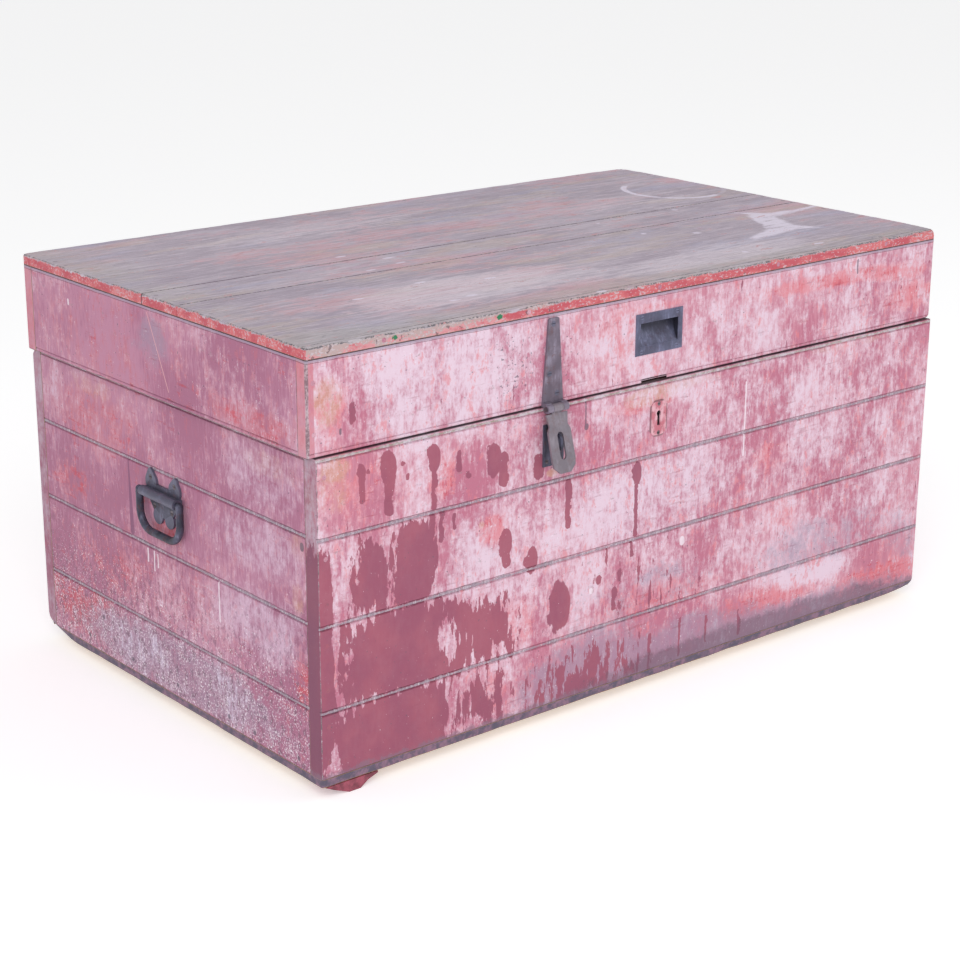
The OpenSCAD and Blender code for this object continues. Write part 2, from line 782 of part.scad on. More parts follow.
// One half of the flap's outline, x outwards from its middle and y upwards from the pin
module flap_outline() {
    for (m = [0, 1]) mirror([m, 0, 0]) polygon(concat(
        [[-cut / 2, 0], [flap_knuckle_w / 2, 0],
            [flap_knuckle_w / 2, -flap_neck], [flap_half * flap_neck_share, -flap_neck]],
        [for (p = flap_edge) [p[0] * flap_half, -p[1] * flap_l]],
        [[-cut / 2, -flap_l]]));
}
module slot_outline() {
    straight = slot_l - slot_w;
    translate([-slot_w / 2, -slot_at - straight / 2]) square([slot_w, straight]);
    for (s = [-1, 1]) translate([0, -slot_at + s * straight / 2]) circle(r = slot_w / 2);
}
module hasp_flap() {
    color(iron) translate([hasp_x, hasp_y, hasp_z]) rotate([-flap_rest, 0, 0]) difference() {
        union() {
            on_front(0, flap_in, 0) linear_extrude(height = hasp_t, center = true) difference() {
                flap_outline();
                slot_outline();
            }
            barrel(flap_knuckle_w, knuckle_r);
        }
        barrel(knuckle_w, hasp_pin_r + snug);
    }
}
module staple_fasteners(hole) {
    y = front_y - staple_plate_t;
    for (sx = [-1, 1], sz = [-1, 1])
        on_front(hasp_x + sx * staple_screw_x, y, staple_plate_z + sz * staple_screw_z)
            fastener(small_screw, hole);
}
module staple_legs(r, out) {
    for (s = [-1, 1]) translate([hasp_x, front_y + staple_in, staple_z + s * staple_span / 2])
        rotate([90, 0, 0]) cylinder(h = staple_in + out, r = r);
}
module staple_holes() {
    staple_legs(staple_r + snug, cut);
    staple_fasteners(true);
}
module staple_plate() {
    color(iron) difference() {
        on_front(hasp_x, front_y, staple_plate_z) linear_extrude(height = staple_plate_t)
            translate([-staple_plate_w / 2, -staple_plate_h / 2]) square([staple_plate_w, staple_plate_h]);
        staple_legs(staple_r + snug, staple_plate_t + cut);
        staple_fasteners(true);
    }
}
module staple_screws() color(steel) staple_fasteners(false);
module staple() {
    leg = staple_out - staple_r - staple_bend;
    bar = staple_span - 2 * staple_bend;
    color(iron) {
        staple_legs(staple_r, leg);
        translate([hasp_x, front_y - leg, staple_z]) {
            translate([0, -staple_bend, 0]) cylinder(h = bar, r = staple_r, center = true);
            for (s = [0, 1]) mirror([0, 0, s]) translate([0, 0, bar / 2])
                rotate([0, -90, 0]) rotate([0, 0, -90])
                    rotate_extrude(angle = 90) translate([staple_bend, 0]) circle(r = staple_r);
        }
    }
}

// Flush pull: a plate with a pocket behind it, whose mouth is lower than the pocket
module pull_fasteners(hole) {
    for (sx = [-1, 1], sz = [-1, 1])
        on_front(lock_x + sx * pull_screw_x, lid_y0 - pull_proud, pull_z + sz * pull_screw_z)
            fastener(small_screw, hole);
}
pocket_low = pull_open_z - pull_open_h / 2;
pocket_top = pull_open_z + pull_open_h / 2 + pull_grip;
// Box of a given growth round the pocket, from the plate's face to a depth behind the lid's face
module pocket(grow, from, to) {
    translate([lock_x - pull_open_w / 2 - grow, lid_y0 + from, pull_z + pocket_low - grow])
        cube([pull_open_w + 2 * grow, to - from, pocket_top - pocket_low + 2 * grow]);
}
module pull_plate(grow, from, to) {
    translate([lock_x - pull_w / 2 - grow, lid_y0 + from, pull_z - pull_h / 2 - grow])
        cube([pull_w + 2 * grow, to - from, pull_h + 2 * grow]);
}
module pull_room() {
    pull_plate(snug, -pull_proud - cut, pull_t - pull_proud);
    pocket(pull_wall + snug, 0, pull_depth + pull_wall + snug);
}
module flush_pull() {
    color(iron) difference() {
        union() {
            pull_plate(0, -pull_proud, pull_t - pull_proud);
            pocket(pull_wall, 0, pull_depth + pull_wall);
        }
        pocket(0, pull_t - pull_proud, pull_depth);
        translate([lock_x - pull_open_w / 2, lid_y0 - pull_proud - cut, pull_z + pocket_low])
            cube([pull_open_w, pull_depth + pull_proud + cut, pull_open_h]);
        pull_fasteners(true);
    }
}
module pull_screws() color(steel) pull_fasteners(false);

// Keyhole plate
module keyhole_cut(back) {
    translate([0, (back + front_y - plate_t - cut) / 2, 0]) rotate([90, 0, 0])
        linear_extrude(height = back - front_y + plate_t + cut, center = true) {
            translate([lock_x, key_z]) circle(r = key_r);
            translate([lock_x - key_slot_w / 2, key_z - key_l]) square([key_slot_w, key_l]);
        }
}
module keyhole_fasteners(hole) {
    for (s = [-1, 1]) on_front(lock_x, front_y - plate_t, plate_z + s * plate_screw_z)
        fastener(small_screw, hole);
}
module keyhole_plate() {
    w = plate_w / 2;
    h = plate_h / 2;
    c = plate_chamfer;
    color(paint) difference() {
        on_front(lock_x, front_y, plate_z) linear_extrude(height = plate_t) polygon([
            [-w + c, -h], [w - c, -h], [w, -h + c], [w, h - c],
            [w - c, h], [-w + c, h], [-w, h - c], [-w, -h + c]]);
        keyhole_cut(front_y + cut);
        keyhole_fasteners(true);
    }
}
module keyhole_screws() color(steel) keyhole_fasteners(false);

// Lock: a tray inside the front, a selvedge let into the rim, tabs on the lid and a sliding bolt
// Left face of the tab on side s
function tab_x(s) = lock_x + s * tab_pitch / 2 - tab_t / 2;
module lock_box(w, y0, y1, z0, z1) translate([lock_x - w / 2, y0, z0]) cube([w, y1 - y0, z1 - z0]);
module lock_fasteners(hole) {
    for (sx = [-1, 1], sz = [-1, 1])
        on_back(lock_x + sx * (case_w + flange_w) / 2, inner_front_y + flange_t,
            rim_z - case_h / 2 + sz * flange_screw_z) fastener(leaf_screw, hole);
}
module lock_recess() {
    lock_box(case_w + 2 * selvedge_side + 2 * snug, inner_front_y - selvedge_d - snug, inner_front_y + cut,
        rim_z - selvedge_t, rim_z + cut);
}
module tab_slots() {
    for (s = [-1, 1]) lay_box(
        [tab_x(s) - tab_room, tab_y - tab_room, rim_z - selvedge_t - cut],
        [tab_x(s) + tab_t + tab_room, tab_y + tab_d + tab_room, rim_z + cut]);
}
module lock_case() {
    case_y1 = inner_front_y + case_d;
    color(brass) difference() {
        union() {
            lock_box(case_w, inner_front_y, case_y1, rim_z - case_h, rim_z);
            lock_box(case_w + 2 * selvedge_side, inner_front_y - selvedge_d, inner_front_y + cut,
                rim_z - selvedge_t, rim_z);
            lock_box(case_w + 2 * flange_w, inner_front_y, inner_front_y + flange_t,
                rim_z - (case_h + flange_h) / 2, rim_z - (case_h - flange_h) / 2);
        }
        difference() {
            lock_box(case_w - 2 * case_t, inner_front_y - cut, case_y1 - case_t,
                rim_z - case_h + case_t, rim_z - selvedge_t);
            lock_box(case_w - 4 * case_t, bolt_back_y - ledge_d, case_y1 - case_t,
                prong_z - bolt_h / 2 - bolt_room - ledge_h, prong_z - bolt_h / 2 - bolt_room);
        }
        tab_slots();
        lock_fasteners(true);
    }
}
module lock_bolt() {
    color(brass) {
        lay_box([tab_x(-1) - prong_short - prong_l - bolt_end, bolt_back_y - bolt_t, prong_z - bolt_h / 2],
            [tab_x(1) - prong_short + bolt_end, bolt_back_y, prong_z + bolt_h / 2]);
        for (s = [-1, 1]) {
            root = tab_x(s) - prong_short - prong_l;
            translate([root - bolt_arm_w, prong_y - prong_r, prong_z - prong_r])
                cube([bolt_arm_w, bolt_back_y - prong_y + prong_r, 2 * prong_r]);
            translate([root - bolt_arm_w / 2, prong_y, prong_z]) rotate([0, 90, 0])
                cylinder(h = prong_l + bolt_arm_w / 2, r = prong_r);
        }
    }
}
module link_fasteners(hole) {
    y = lid_y0 + lid_wall_t + link_t;
    z = lid_z + notch_h + link_h / 2;
    for (s = [-1, 1]) on_back(lock_x + s * link_screw_x, y, z) fastener(leaf_screw, hole);
}
module link_plate() {
    link_y = lid_y0 + lid_wall_t;
    link_z = lid_z + link_rise;
    color(brass) difference() {
        union() {
            lock_box(link_w, link_y, link_y + link_t, link_z, link_z + notch_h + link_h);
            for (s = [-1, 1]) {
                x = tab_x(s);
                lay_box([x, link_y, link_z], [x + tab_t, tab_y + tab_d, link_z + link_h]);
                lay_box([x, tab_y, rim_z - tab_drop], [x + tab_t, tab_y + tab_d, lid_z + tab_lap]);
            }
        }
        translate([lock_x, prong_y, prong_z]) barrel(case_w, tab_hole_r);
        link_fasteners(true);
    }
}
module body_screws() {
    color(steel) {
        lock_fasteners(false);
        body_leaf_fasteners(false);
    }
}
module lid_screws() {
    color(steel) {
        link_fasteners(false);
        lid_leaf_fasteners(false);
    }
}

// Handles, drawn with x along the barrel, y up and z out of the side
module on_sides(s) {
    z = board_top(2) - handle_down;
    if (s < 0) on_left(-end_x, 0, z) children();
    else on_right(end_x, 0, z) children();
}
module handle_fasteners(hole) {
    for (s = [-1, 1]) on_sides(s) for (p = handle_screws) translate([p[0], p[1], handle_plate_t])
        fastener(iron_screw, hole);
}
// Outline that tapers from one circle to a smaller one, each given as its middle and radius
module tapered(from, to) {
    way = to[0] - from[0];
    along = way / norm(way);
    across = [-along[1], along[0]];
    lean = (from[1] - to[1]) / norm(way);
    out = [for (m = [1, -1]) lean * along + m * sqrt(1 - lean * lean) * across];
    for (c = [from, to]) translate(c[0]) circle(r = c[1]);
    polygon([from[0] + from[1] * out[0], to[0] + to[1] * out[0],
        to[0] + to[1] * out[1], from[0] + from[1] * out[1]]);
}
module handle_outline() {
    polygon([
        [-handle_plate_x, handle_plate_top], [-handle_plate_x, handle_shoulder_y],
        [-handle_waist_x, -handle_plate_low], [handle_waist_x, -handle_plate_low],
        [handle_plate_x, handle_shoulder_y], [handle_plate_x, handle_plate_top]]);
    for (s = [-1, 1]) {
        mirror([s < 0 ? 1 : 0, 0, 0]) tapered(handle_lobe, handle_lobe_tip);
        translate([s * handle_curl_x, -handle_curl_y]) circle(r = handle_curl_r);
    }
    translate([-handle_curl_x, -handle_curl_y]) square([2 * handle_curl_x, handle_curl_y]);
}
module handle_plate(s) {
    color(iron) on_sides(s) difference() {
        union() {
            linear_extrude(height = handle_plate_t) handle_outline();
            lay_box([-handle_barrel_l / 2, -handle_web, 0], [handle_barrel_l / 2, handle_web, handle_off]);
            translate([0, 0, handle_off]) barrel(handle_barrel_l, handle_barrel_r);
        }
        translate([0, 0, handle_off]) barrel(handle_barrel_l + 2 * cut, bail_pin_r + pin_fit);
        for (p = handle_screws) translate([p[0], p[1], handle_plate_t]) screw_hole(iron_screw);
    }
}
module bail(s) {
    arm_x = bail_w / 2 - bail_r;
    low = bail_drop - bail_r;
    pin_in = 8;
    color(iron) on_sides(s) translate([0, 0, handle_off]) {
        for (m = [0, 1]) mirror([m, 0, 0]) {
            translate([handle_barrel_l / 2 - pin_in, 0, 0]) rotate([0, 90, 0])
                cylinder(h = arm_x - handle_barrel_l / 2 + pin_in, r = bail_pin_r);
            translate([arm_x, 0, 0]) sphere(r = bail_r);
            translate([arm_x, -low + bail_bend, 0]) rotate([-90, 0, 0])
                cylinder(h = low - bail_bend, r = bail_r);
            translate([arm_x - bail_bend, -low + bail_bend, 0]) rotate([0, 0, -90])
                rotate_extrude(angle = 90) translate([bail_bend, 0]) circle(r = bail_r);
        }
        translate([0, -low, 0]) barrel(2 * (arm_x - bail_bend), bail_r);
    }
}

module handle_screw_set() color(steel) handle_fasteners(false);

for (i = [1:rows]) {
    front_board(i);
    back_board(i);
    left_board(i);
    right_board(i);
}
for (i = [1:flats]) {
    bottom_board(i);
    bearer(i);
    lid_top_board(i);
}
corner_foot();
body_nails();
lid_front_board();
lid_back_board();
lid_left_board();
lid_right_board();
lid_nosing();
lid_nails();
hasp_strap();
strap_screws();
hasp_pin();
hasp_flap();
staple_plate();
staple();
staple_screws();
flush_pull();
pull_screws();
keyhole_plate();
keyhole_screws();
lock_case();
lock_bolt();
link_plate();
body_screws();
lid_screws();
handle_plate(-1);  // left_handle_plate
handle_plate(1);  // right_handle_plate
bail(-1);  // left_bail
bail(1);  // right_bail
handle_screw_set();  // handle_screws
body_leaf(-1);  // hinge_body_leaf_1
body_leaf(1);  // hinge_body_leaf_2
lid_leaf(-1);  // hinge_lid_leaf_1
lid_leaf(1);  // hinge_lid_leaf_2
hinge_pins();
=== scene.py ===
"""Dresses the plank chest: worn painted boards, iron fittings and bare pine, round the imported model."""

import functools
import itertools
import json
import math
from types import SimpleNamespace

import bmesh
import bpy
import numpy as np
from mathutils import Matrix, Vector


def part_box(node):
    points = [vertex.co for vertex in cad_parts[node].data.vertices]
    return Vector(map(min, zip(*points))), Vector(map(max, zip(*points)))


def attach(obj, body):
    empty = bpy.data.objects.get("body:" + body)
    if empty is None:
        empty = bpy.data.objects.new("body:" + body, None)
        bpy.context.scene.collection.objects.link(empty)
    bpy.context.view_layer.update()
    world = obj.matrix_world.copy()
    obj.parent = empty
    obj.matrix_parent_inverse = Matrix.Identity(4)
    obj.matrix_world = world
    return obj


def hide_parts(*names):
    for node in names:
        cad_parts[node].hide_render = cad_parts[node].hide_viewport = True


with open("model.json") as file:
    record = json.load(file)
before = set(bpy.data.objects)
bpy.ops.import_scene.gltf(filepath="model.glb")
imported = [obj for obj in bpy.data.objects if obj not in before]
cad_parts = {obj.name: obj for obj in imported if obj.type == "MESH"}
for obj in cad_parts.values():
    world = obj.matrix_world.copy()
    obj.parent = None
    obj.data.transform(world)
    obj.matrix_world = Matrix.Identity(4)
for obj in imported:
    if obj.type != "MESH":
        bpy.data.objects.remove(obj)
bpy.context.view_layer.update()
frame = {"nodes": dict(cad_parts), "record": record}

MM = 0.001
ROWS = 4
FLATS = 3

# The photograph's camera, found from the chest's straight edges
IMAGE_PX = 960
FOCAL_PX = 2130.74
SENSOR_MM = 36.0
CAMERA_AT = (-1.72222, -2.0455, 1.05706)
CAMERA_YAW = -0.69315
CAMERA_PITCH = -0.31286
CAMERA_ROLL = 0.00459


# Levels and faces of the chest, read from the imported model
def levels(wall):
    """Heights of the wall's board edges, from the rim down."""
    tops = [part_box(f"{wall}_board_1")[1].z]
    return tops + [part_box(f"{wall}_board_{i}")[0].z for i in range(1, ROWS + 1)]


front_low, front_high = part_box("front_board_1")
BODY_LOW = Vector((front_low.x, front_low.y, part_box("bottom_board_1")[0].z))
BODY_HIGH = Vector((front_high.x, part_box("back_board_1")[1].y, front_high.z))
LID_LOW, lid_front_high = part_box("lid_front_board")
LID_HIGH = Vector((lid_front_high.x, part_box("lid_back_board")[1].y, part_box("lid_nosing")[1].z))

# The flush pull, the keyhole and the edges of the fittings
PULL_T = 1.5 * MM
PULL_SCREW_R = 2.5 * MM
PULL_POCKET_W = 61 * MM
PULL_TOP_RAIL = 11.5 * MM
PULL_FOOT_RAIL = 10.5 * MM
PULL_SEAT = 5.3 * MM
KEY_R = 3.6 * MM
KEY_SLOT_W = 4.6 * MM
KEY_L = 15 * MM
KEY_UP = 6.0 * MM
KEY_DEPTH = 12 * MM
SOFT_EDGE = 0.5 * MM
ROUND_SIDES = 24
SHARP_FROM = math.radians(38)
SOFT_FROM = math.radians(40)

# How far the lid opens, and how far in front of the hinge pins the sloped back rims start
LID_OPEN = math.radians(100)
SLOPE_START = 0.1 * MM

# How far the two nails in the lid's round back right corner are driven in. They are found by their distance
# from the lid's right face, from its back and from its top.
DRIVEN = 2.2 * MM
DRIVEN_FROM_RIGHT = 12 * MM
DRIVEN_FROM_BACK = 45 * MM
DRIVEN_FROM_TOP = 24 * MM

# Wear of the wood
BEAD_R = 2.4 * MM
QUIRK_W = 1.0 * MM
QUIRK_D = 0.8 * MM
BODY_CORNERS = (3.0 * MM, 3.5 * MM, 3.5 * MM, 4.0 * MM)
LID_CORNERS = (3.0 * MM, 8.0 * MM, 15.0 * MM, 4.0 * MM)

# How far apart the points of the boards' meshes are
SEEN_STEP = 12 * MM
HIDDEN_STEP = 18 * MM
TOP_STEP = 10 * MM


def srgb(red, green, blue):
    """A colour of 0 to 255 values as the linear colour that nodes take."""
    linear = [c / 255 / 12.92 if c <= 10 else ((c / 255 + 0.055) / 1.055) ** 2.4 for c in (red, green, blue)]
    return (*linear, 1.0)


class Field:
    """A number that varies over a surface: a node's socket that can be added to, scaled and compared."""

    def __init__(self, graph, socket):
        self.graph = graph
        self.socket = socket

    def __add__(self, other):
        return self.graph.math("ADD", self, other)

    def __sub__(self, other):
        return self.graph.math("SUBTRACT", self, other)

    def __rsub__(self, other):
        return self.graph.math("SUBTRACT", other, self)

    def __mul__(self, other):
        return self.graph.math("MULTIPLY", self, other)

    __radd__ = __add__
    __rmul__ = __mul__

    def swing(self, amount):
        """How far it is above or below its middle of a half, scaled."""
        return (self - 0.5) * amount

    def above(self, low, high):
        """0 below low, 1 above high, smooth between."""
        node = self.graph.add("ShaderNodeMapRange", self, low, high, 0.0, 1.0)
        node.interpolation_type = "SMOOTHSTEP"
        return Field(self.graph, node.outputs[0])

    def below(self, low, high):
        return 1.0 - self.above(low, high)

    def at_most(self, other):
        return self.graph.math("MINIMUM", self, other)

    def at_least(self, other):
        return self.graph.math("MAXIMUM", self, other)

    def size(self):
        """Its value without the sign."""
        return self.graph.math("ABSOLUTE", self)


class Graph:
    """A node material under construction. Patterns are fixed to the piece, in its own metres."""

    def __init__(self, name):
        self.material = bpy.data.materials.new(name)
        self.material.use_nodes = True
        self.tree = self.material.node_tree
        self.tree.nodes.clear()
        self.shader = self.add("ShaderNodeBsdfPrincipled")
        self.add("ShaderNodeOutputMaterial", self.shader.outputs[0])
        self.place = self.add("ShaderNodeTexCoord").outputs["Object"]
        split = self.add("ShaderNodeSeparateXYZ", self.place)
        self.x, self.y, self.z = (Field(self, socket) for socket in split.outputs)
        self.colour = None

    def feed(self, socket, value):
        """Links a field or a socket to an input, or sets the input to a value."""
        if isinstance(value, Field):
            value = value.socket
        if isinstance(value, bpy.types.NodeSocket):
            self.tree.links.new(value, socket)
        else:
            socket.default_value = value

    def add(self, kind, *values):
        """A new node, with its first inputs fed."""
        node = self.tree.nodes.new(kind)
        for socket, value in zip(node.inputs, values):
            self.feed(socket, value)
        return node

    def math(self, operation, first, second=0.0):
        node = self.add("ShaderNodeMath", first, second)
        node.operation = operation
        return Field(self, node.outputs[0])

    def mark(self, name):
        """A value that the mesh holds at its vertices."""
        node = self.add("ShaderNodeAttribute")
        node.attribute_name = name
        return Field(self, node.outputs["Fac"])

    def stretched(self, stretch, shift=0.0):
        """The place scaled along each axis and moved, so that no two patterns are alike."""
        scaled = self.add("ShaderNodeVectorMath", self.place, stretch)
        scaled.operation = "MULTIPLY"
        moved = self.add("ShaderNodeVectorMath", scaled.outputs[0], (shift, shift * 1.7, shift * 0.6))
        return moved.outputs[0]

    def noise(self, stretch, detail=3.0, rough=0.55, shift=0.0, warp=0.0):
        """Noise of 0 to 1, with stretch features a metre along X, Y and Z."""
        node = self.add("ShaderNodeTexNoise", self.stretched(stretch, shift))
        node.inputs["Scale"].default_value = 1.0
        node.inputs["Detail"].default_value = detail
        node.inputs["Roughness"].default_value = rough
        node.inputs["Distortion"].default_value = warp
        return Field(self, node.outputs[0])

    def blend(self, amount, first, second):
        """The first colour where the amount is 0, and the second where it is 1."""
        node = self.add("ShaderNodeMix")
        node.data_type = "RGBA"
        self.feed(node.inputs[0], amount)
        self.feed(node.inputs[6], first)
        self.feed(node.inputs[7], second)
        return node.outputs[2]

    def coat(self, amount, colour):
        """Lays another colour over what there is."""
        self.colour = self.blend(amount, self.colour, colour)

    def reach(self, u, v, place, height, half_w, half_h):
        """How far inside an ellipse a point is: 1 at its middle and 0 on its edge."""
        across = (u - place) * (1.0 / half_w)
        up = (v - height) * (1.0 / half_h)
        return 1.0 - self.length(across, up)

    def length(self, first, second):
        joined = self.add("ShaderNodeCombineXYZ", first, second)
        node = self.add("ShaderNodeVectorMath", joined.outputs[0])
        node.operation = "LENGTH"
        return Field(self, node.outputs["Value"])

    def block(self, u, v, place, height, half_w, half_h):
        """The same for a shape between an ellipse and its box."""
        across = (u - place) * (1.0 / half_w)
        up = (v - height) * (1.0 / half_h)
        boxy = across.size().at_least(up.size())
        return 1.0 - boxy * 0.5 - self.length(across, up) * 0.5

    def run(self, u, v, place, top, foot, half):
        """Distance outside an upright run of paint."""
        up = v - v.at_least(foot + half).at_most(top - half)
        return self.length(u - place, up) - half

    def curved(self):
        """About half on flat places, and more on edges that stand out."""
        return Field(self, self.add("ShaderNodeNewGeometry").outputs["Pointiness"])

    def bump(self, height, distance, strength=1.0):
        node = self.add("ShaderNodeBump")
        node.inputs["Strength"].default_value = strength
        node.inputs["Distance"].default_value = distance
        self.feed(node.inputs["Height"], height)
        self.feed(self.shader.inputs["Normal"], node.outputs[0])

    def finish(self, rough, metallic=0.0, specular=0.5):
        """Gives the shader its colour and its other values."""
        self.feed(self.shader.inputs["Base Color"], self.colour)
        self.feed(self.shader.inputs["Roughness"], rough)
        self.feed(self.shader.inputs["Metallic"], metallic)
        self.shader.inputs["Specular IOR Level"].default_value = specular
        return self.material


# Colours of the paint, the wood, the dirt and the iron
FRONT_TONES = (srgb(190, 114, 138), srgb(208, 142, 160), srgb(220, 122, 132), srgb(230, 208, 224))
SIDE_TONES = (srgb(170, 108, 136), srgb(192, 134, 160), srgb(196, 108, 122), srgb(216, 188, 210))
CHALK = srgb(244, 232, 242)
CHALK_BLUE = srgb(220, 208, 230)
GRIME = srgb(104, 80, 98)
RED = srgb(204, 76, 90)
MAUVE = srgb(152, 81, 105)
MAUVE_RED = srgb(164, 86, 106)
STRIP = srgb(96, 66, 92)
LAVENDER = srgb(160, 138, 162)
SLATE = srgb(98, 88, 104)
OCHRE = srgb(206, 158, 134)
BEAD_GREY = srgb(150, 136, 150)
BEAD_LIGHT = srgb(206, 196, 206)
RIM_GREY = srgb(150, 142, 128)
CRACK_GREY = srgb(160, 150, 170)
DIRT = srgb(78, 58, 72)
# Near black, used only as painted shade: in the keyhole, the notch, the crack under the slab and the gap
# under the lid
DARK = srgb(26, 20, 24)
PINE = srgb(198, 168, 134)
PINE_DARK = srgb(174, 142, 110)
PINE_GREY = srgb(146, 128, 116)
TOP_GREY = srgb(210, 197, 210)
TOP_SHADE = srgb(182, 168, 184)
TOP_PINK = srgb(218, 170, 182)
TOP_TAN = srgb(208, 190, 184)
TOP_MOSS = srgb(190, 182, 178)
EDGE_RED = srgb(194, 88, 100)
EDGE_SALMON = srgb(214, 118, 122)
EDGE_PALE = srgb(222, 166, 172)
TOP_PALE = srgb(234, 222, 234)
IRON_SHADE = srgb(36, 34, 44)
LID_END = srgb(206, 124, 136)
ARRIS_GREY = srgb(112, 102, 110)
ARRIS_PALE = srgb(196, 184, 190)
MOSS_SPOT = srgb(52, 124, 88)
SMEAR = srgb(150, 128, 134)
CRACK_MAUVE = srgb(134, 84, 116)
FOOT_MAUVE = srgb(134, 110, 128)
TOP_BLUE = srgb(186, 184, 212)
TOP_STREAK = srgb(140, 122, 138)
TOP_LILAC = srgb(156, 146, 170)
TOP_LINE = srgb(112, 98, 110)
SPLASH_WHITE = srgb(244, 234, 252)
EDGE_GREY = srgb(178, 166, 164)
POCK = srgb(104, 84, 90)
ARRIS_DARK = srgb(96, 90, 98)
EDGE_SLATE = srgb(96, 88, 106)
EDGE_MAUVE = srgb(144, 112, 132)
RUST = srgb(118, 74, 66)

# Lines a metre of bare wood along X, Y and Z, where its grain runs along X
GRAIN_ALONG_X = (9, 150, 150)

# The tables of places below are in millimetres. Only a row's strength or amount isn't a length.

# Runs of darker overpaint on the front: place, top, foot, half width of the stem and of the blob at its top
RUNS = (
    (-441, 375, 332, 4.2, 5.6), (-405, 382, 311, 6, 10.8), (-343, 378, 304, 3.4, 9.5),
    (-308, 366, 341, 3.4, 0), (-294, 341, 331, 2.2, 0), (-257, 362, 340, 8, 11.5), (-243, 352, 311, 7, 0),
    (-190, 338, 310, 6.5, 9), (-144, 300, 239, 4.6, 0), (-35, 298, 205, 3, 8.5), (-40, 203, 180, 2.8, 0),
    (-239, 258, 212, 5.6, 10), (-200, 228, 212, 7, 10), (-156, 172, 141, 11, 18.5), (-93, 169, 157, 4.2, 0),
    (-68, 148, 118, 3.8, 0), (-346, 302, 273, 3, 0), (-333, 301, 264, 3, 0), (-314, 295, 275, 2.8, 0),
    (-450, 446, 421, 3.6, 0), (-433, 369, 364, 2.2, 0), (-387, 369, 364, 2.2, 0), (-379, 354, 346, 2.4, 0),
    (46, 80, 28, 2, 0), (92, 72, 36, 1.6, 0), (152, 66, 30, 2.2, 0), (-6, 72, 22, 2.4, 0),
)
# Patches of it: place, height, half width, half height and strength
FRONT_PATCHES = (
    (-497, 150, 20, 160, 1.6), (-371, 248, 40, 60, 1.1), (-430, 246, 44, 66, 0.6), (-378, 150, 130, 64, 1),
    (-405, 50, 110, 70, 1.1), (-262, 140, 52, 60, 0.6), (-275, 50, 70, 60, 0.4), (-120, 40, 150, 70, 0.34),
    (-20, 140, 120, 60, 0.16),
)
# Where the darker coat has peeled again
FRONT_PEELED = (
    (-325, 148, 24, 44, 0.45), (-485, 180, 12, 40, 0.25), (-485, 40, 14, 40, 0.35),
)
# Where the front is paler, redder, tanned or greyed: place, height, half width, half height and amount
FRONT_PALER = (
    (-330, 448, 220, 85, 0.07), (-460, 400, 60, 120, -0.06), (-440, 345, 90, 60, -0.05),
    (-20, 255, 180, 70, 0.08), (301, 250, 160, 50, 0.035), (-300, 235, 60, 60, 0.055),
    (290, 86, 110, 24, 0.11), (300, 160, 240, 70, 0.02), (190, 440, 130, 80, 0.03),
    (-73, 346, 100, 55, 0.02), (200, 327, 120, 50, 0.025), (-20, 60, 300, 60, -0.06),
    (440, 60, 120, 60, -0.07),
)
FRONT_REDDER = (
    (-260, 262, 30, 26, 0.14), (-330, 340, 30, 40, 0.08), (-486, 450, 36, 40, 0.07),
    (-225, 140, 50, 45, 0.07), (420, 45, 140, 30, 0.09), (200, 66, 140, 30, 0.1), (0, 118, 160, 24, 0.07),
    (300, 472, 220, 14, 0.12), (200, 262, 50, 30, 0.08), (220, 180, 60, 40, 0.05), (-60, 455, 60, 60, 0.07),
    (460, 430, 70, 30, 0.1), (-50, 450, 12, 40, 0.1), (0, 484, 60, 8, 0.08), (440, 463, 80, 12, 0.12),
    (-30, 368, 70, 16, 0.1),
)
FRONT_TANNED = (
    (-47, 440, 7, 40, 0.5), (-476, 379, 30, 18, 0.7), (-480, 350, 40, 45, 0.45), (-484, 450, 34, 44, 0.85),
    (-170, 313, 14, 8, 1), (30, 382, 120, 12, 0.6), (340, 384, 180, 10, 0.45), (-275, 272, 8, 8, 0.6),
    (-20, 374, 70, 18, 0.6),
)
FRONT_GREYED = (
    (-120, 50, 150, 75, 0.55), (80, 45, 220, 60, 0.5), (330, 30, 260, 40, 0.45), (470, 90, 60, 50, 0.3),
    (0, 130, 200, 60, 0.36), (310, 130, 220, 60, 0.4), (190, 438, 120, 50, 0.14), (-250, 250, 60, 50, 0.16),
    (-100, 450, 120, 60, 0.18),
)
# Where it is dirty along its foot, and where it has dark specks
FRONT_GRIMED = (
    (250, 26, 340, 36, 0.75), (-30, 24, 240, 30, 0.45), (60, 50, 160, 40, 0.25),
)
FRONT_SPECKLED = (
    (-225, 448, 45, 70, 0.11), (-150, 448, 30, 60, 0.07), (-480, 350, 20, 50, 0.05),
)
# Places where painted shade stands for the darkness behind the front, in the keyhole and the notch: place,
# height, half width and half height
KEYHOLE_PIT = (-2.5, 348, 6, 17)
NOTCH_PIT = (-8, 396, 23, 3)
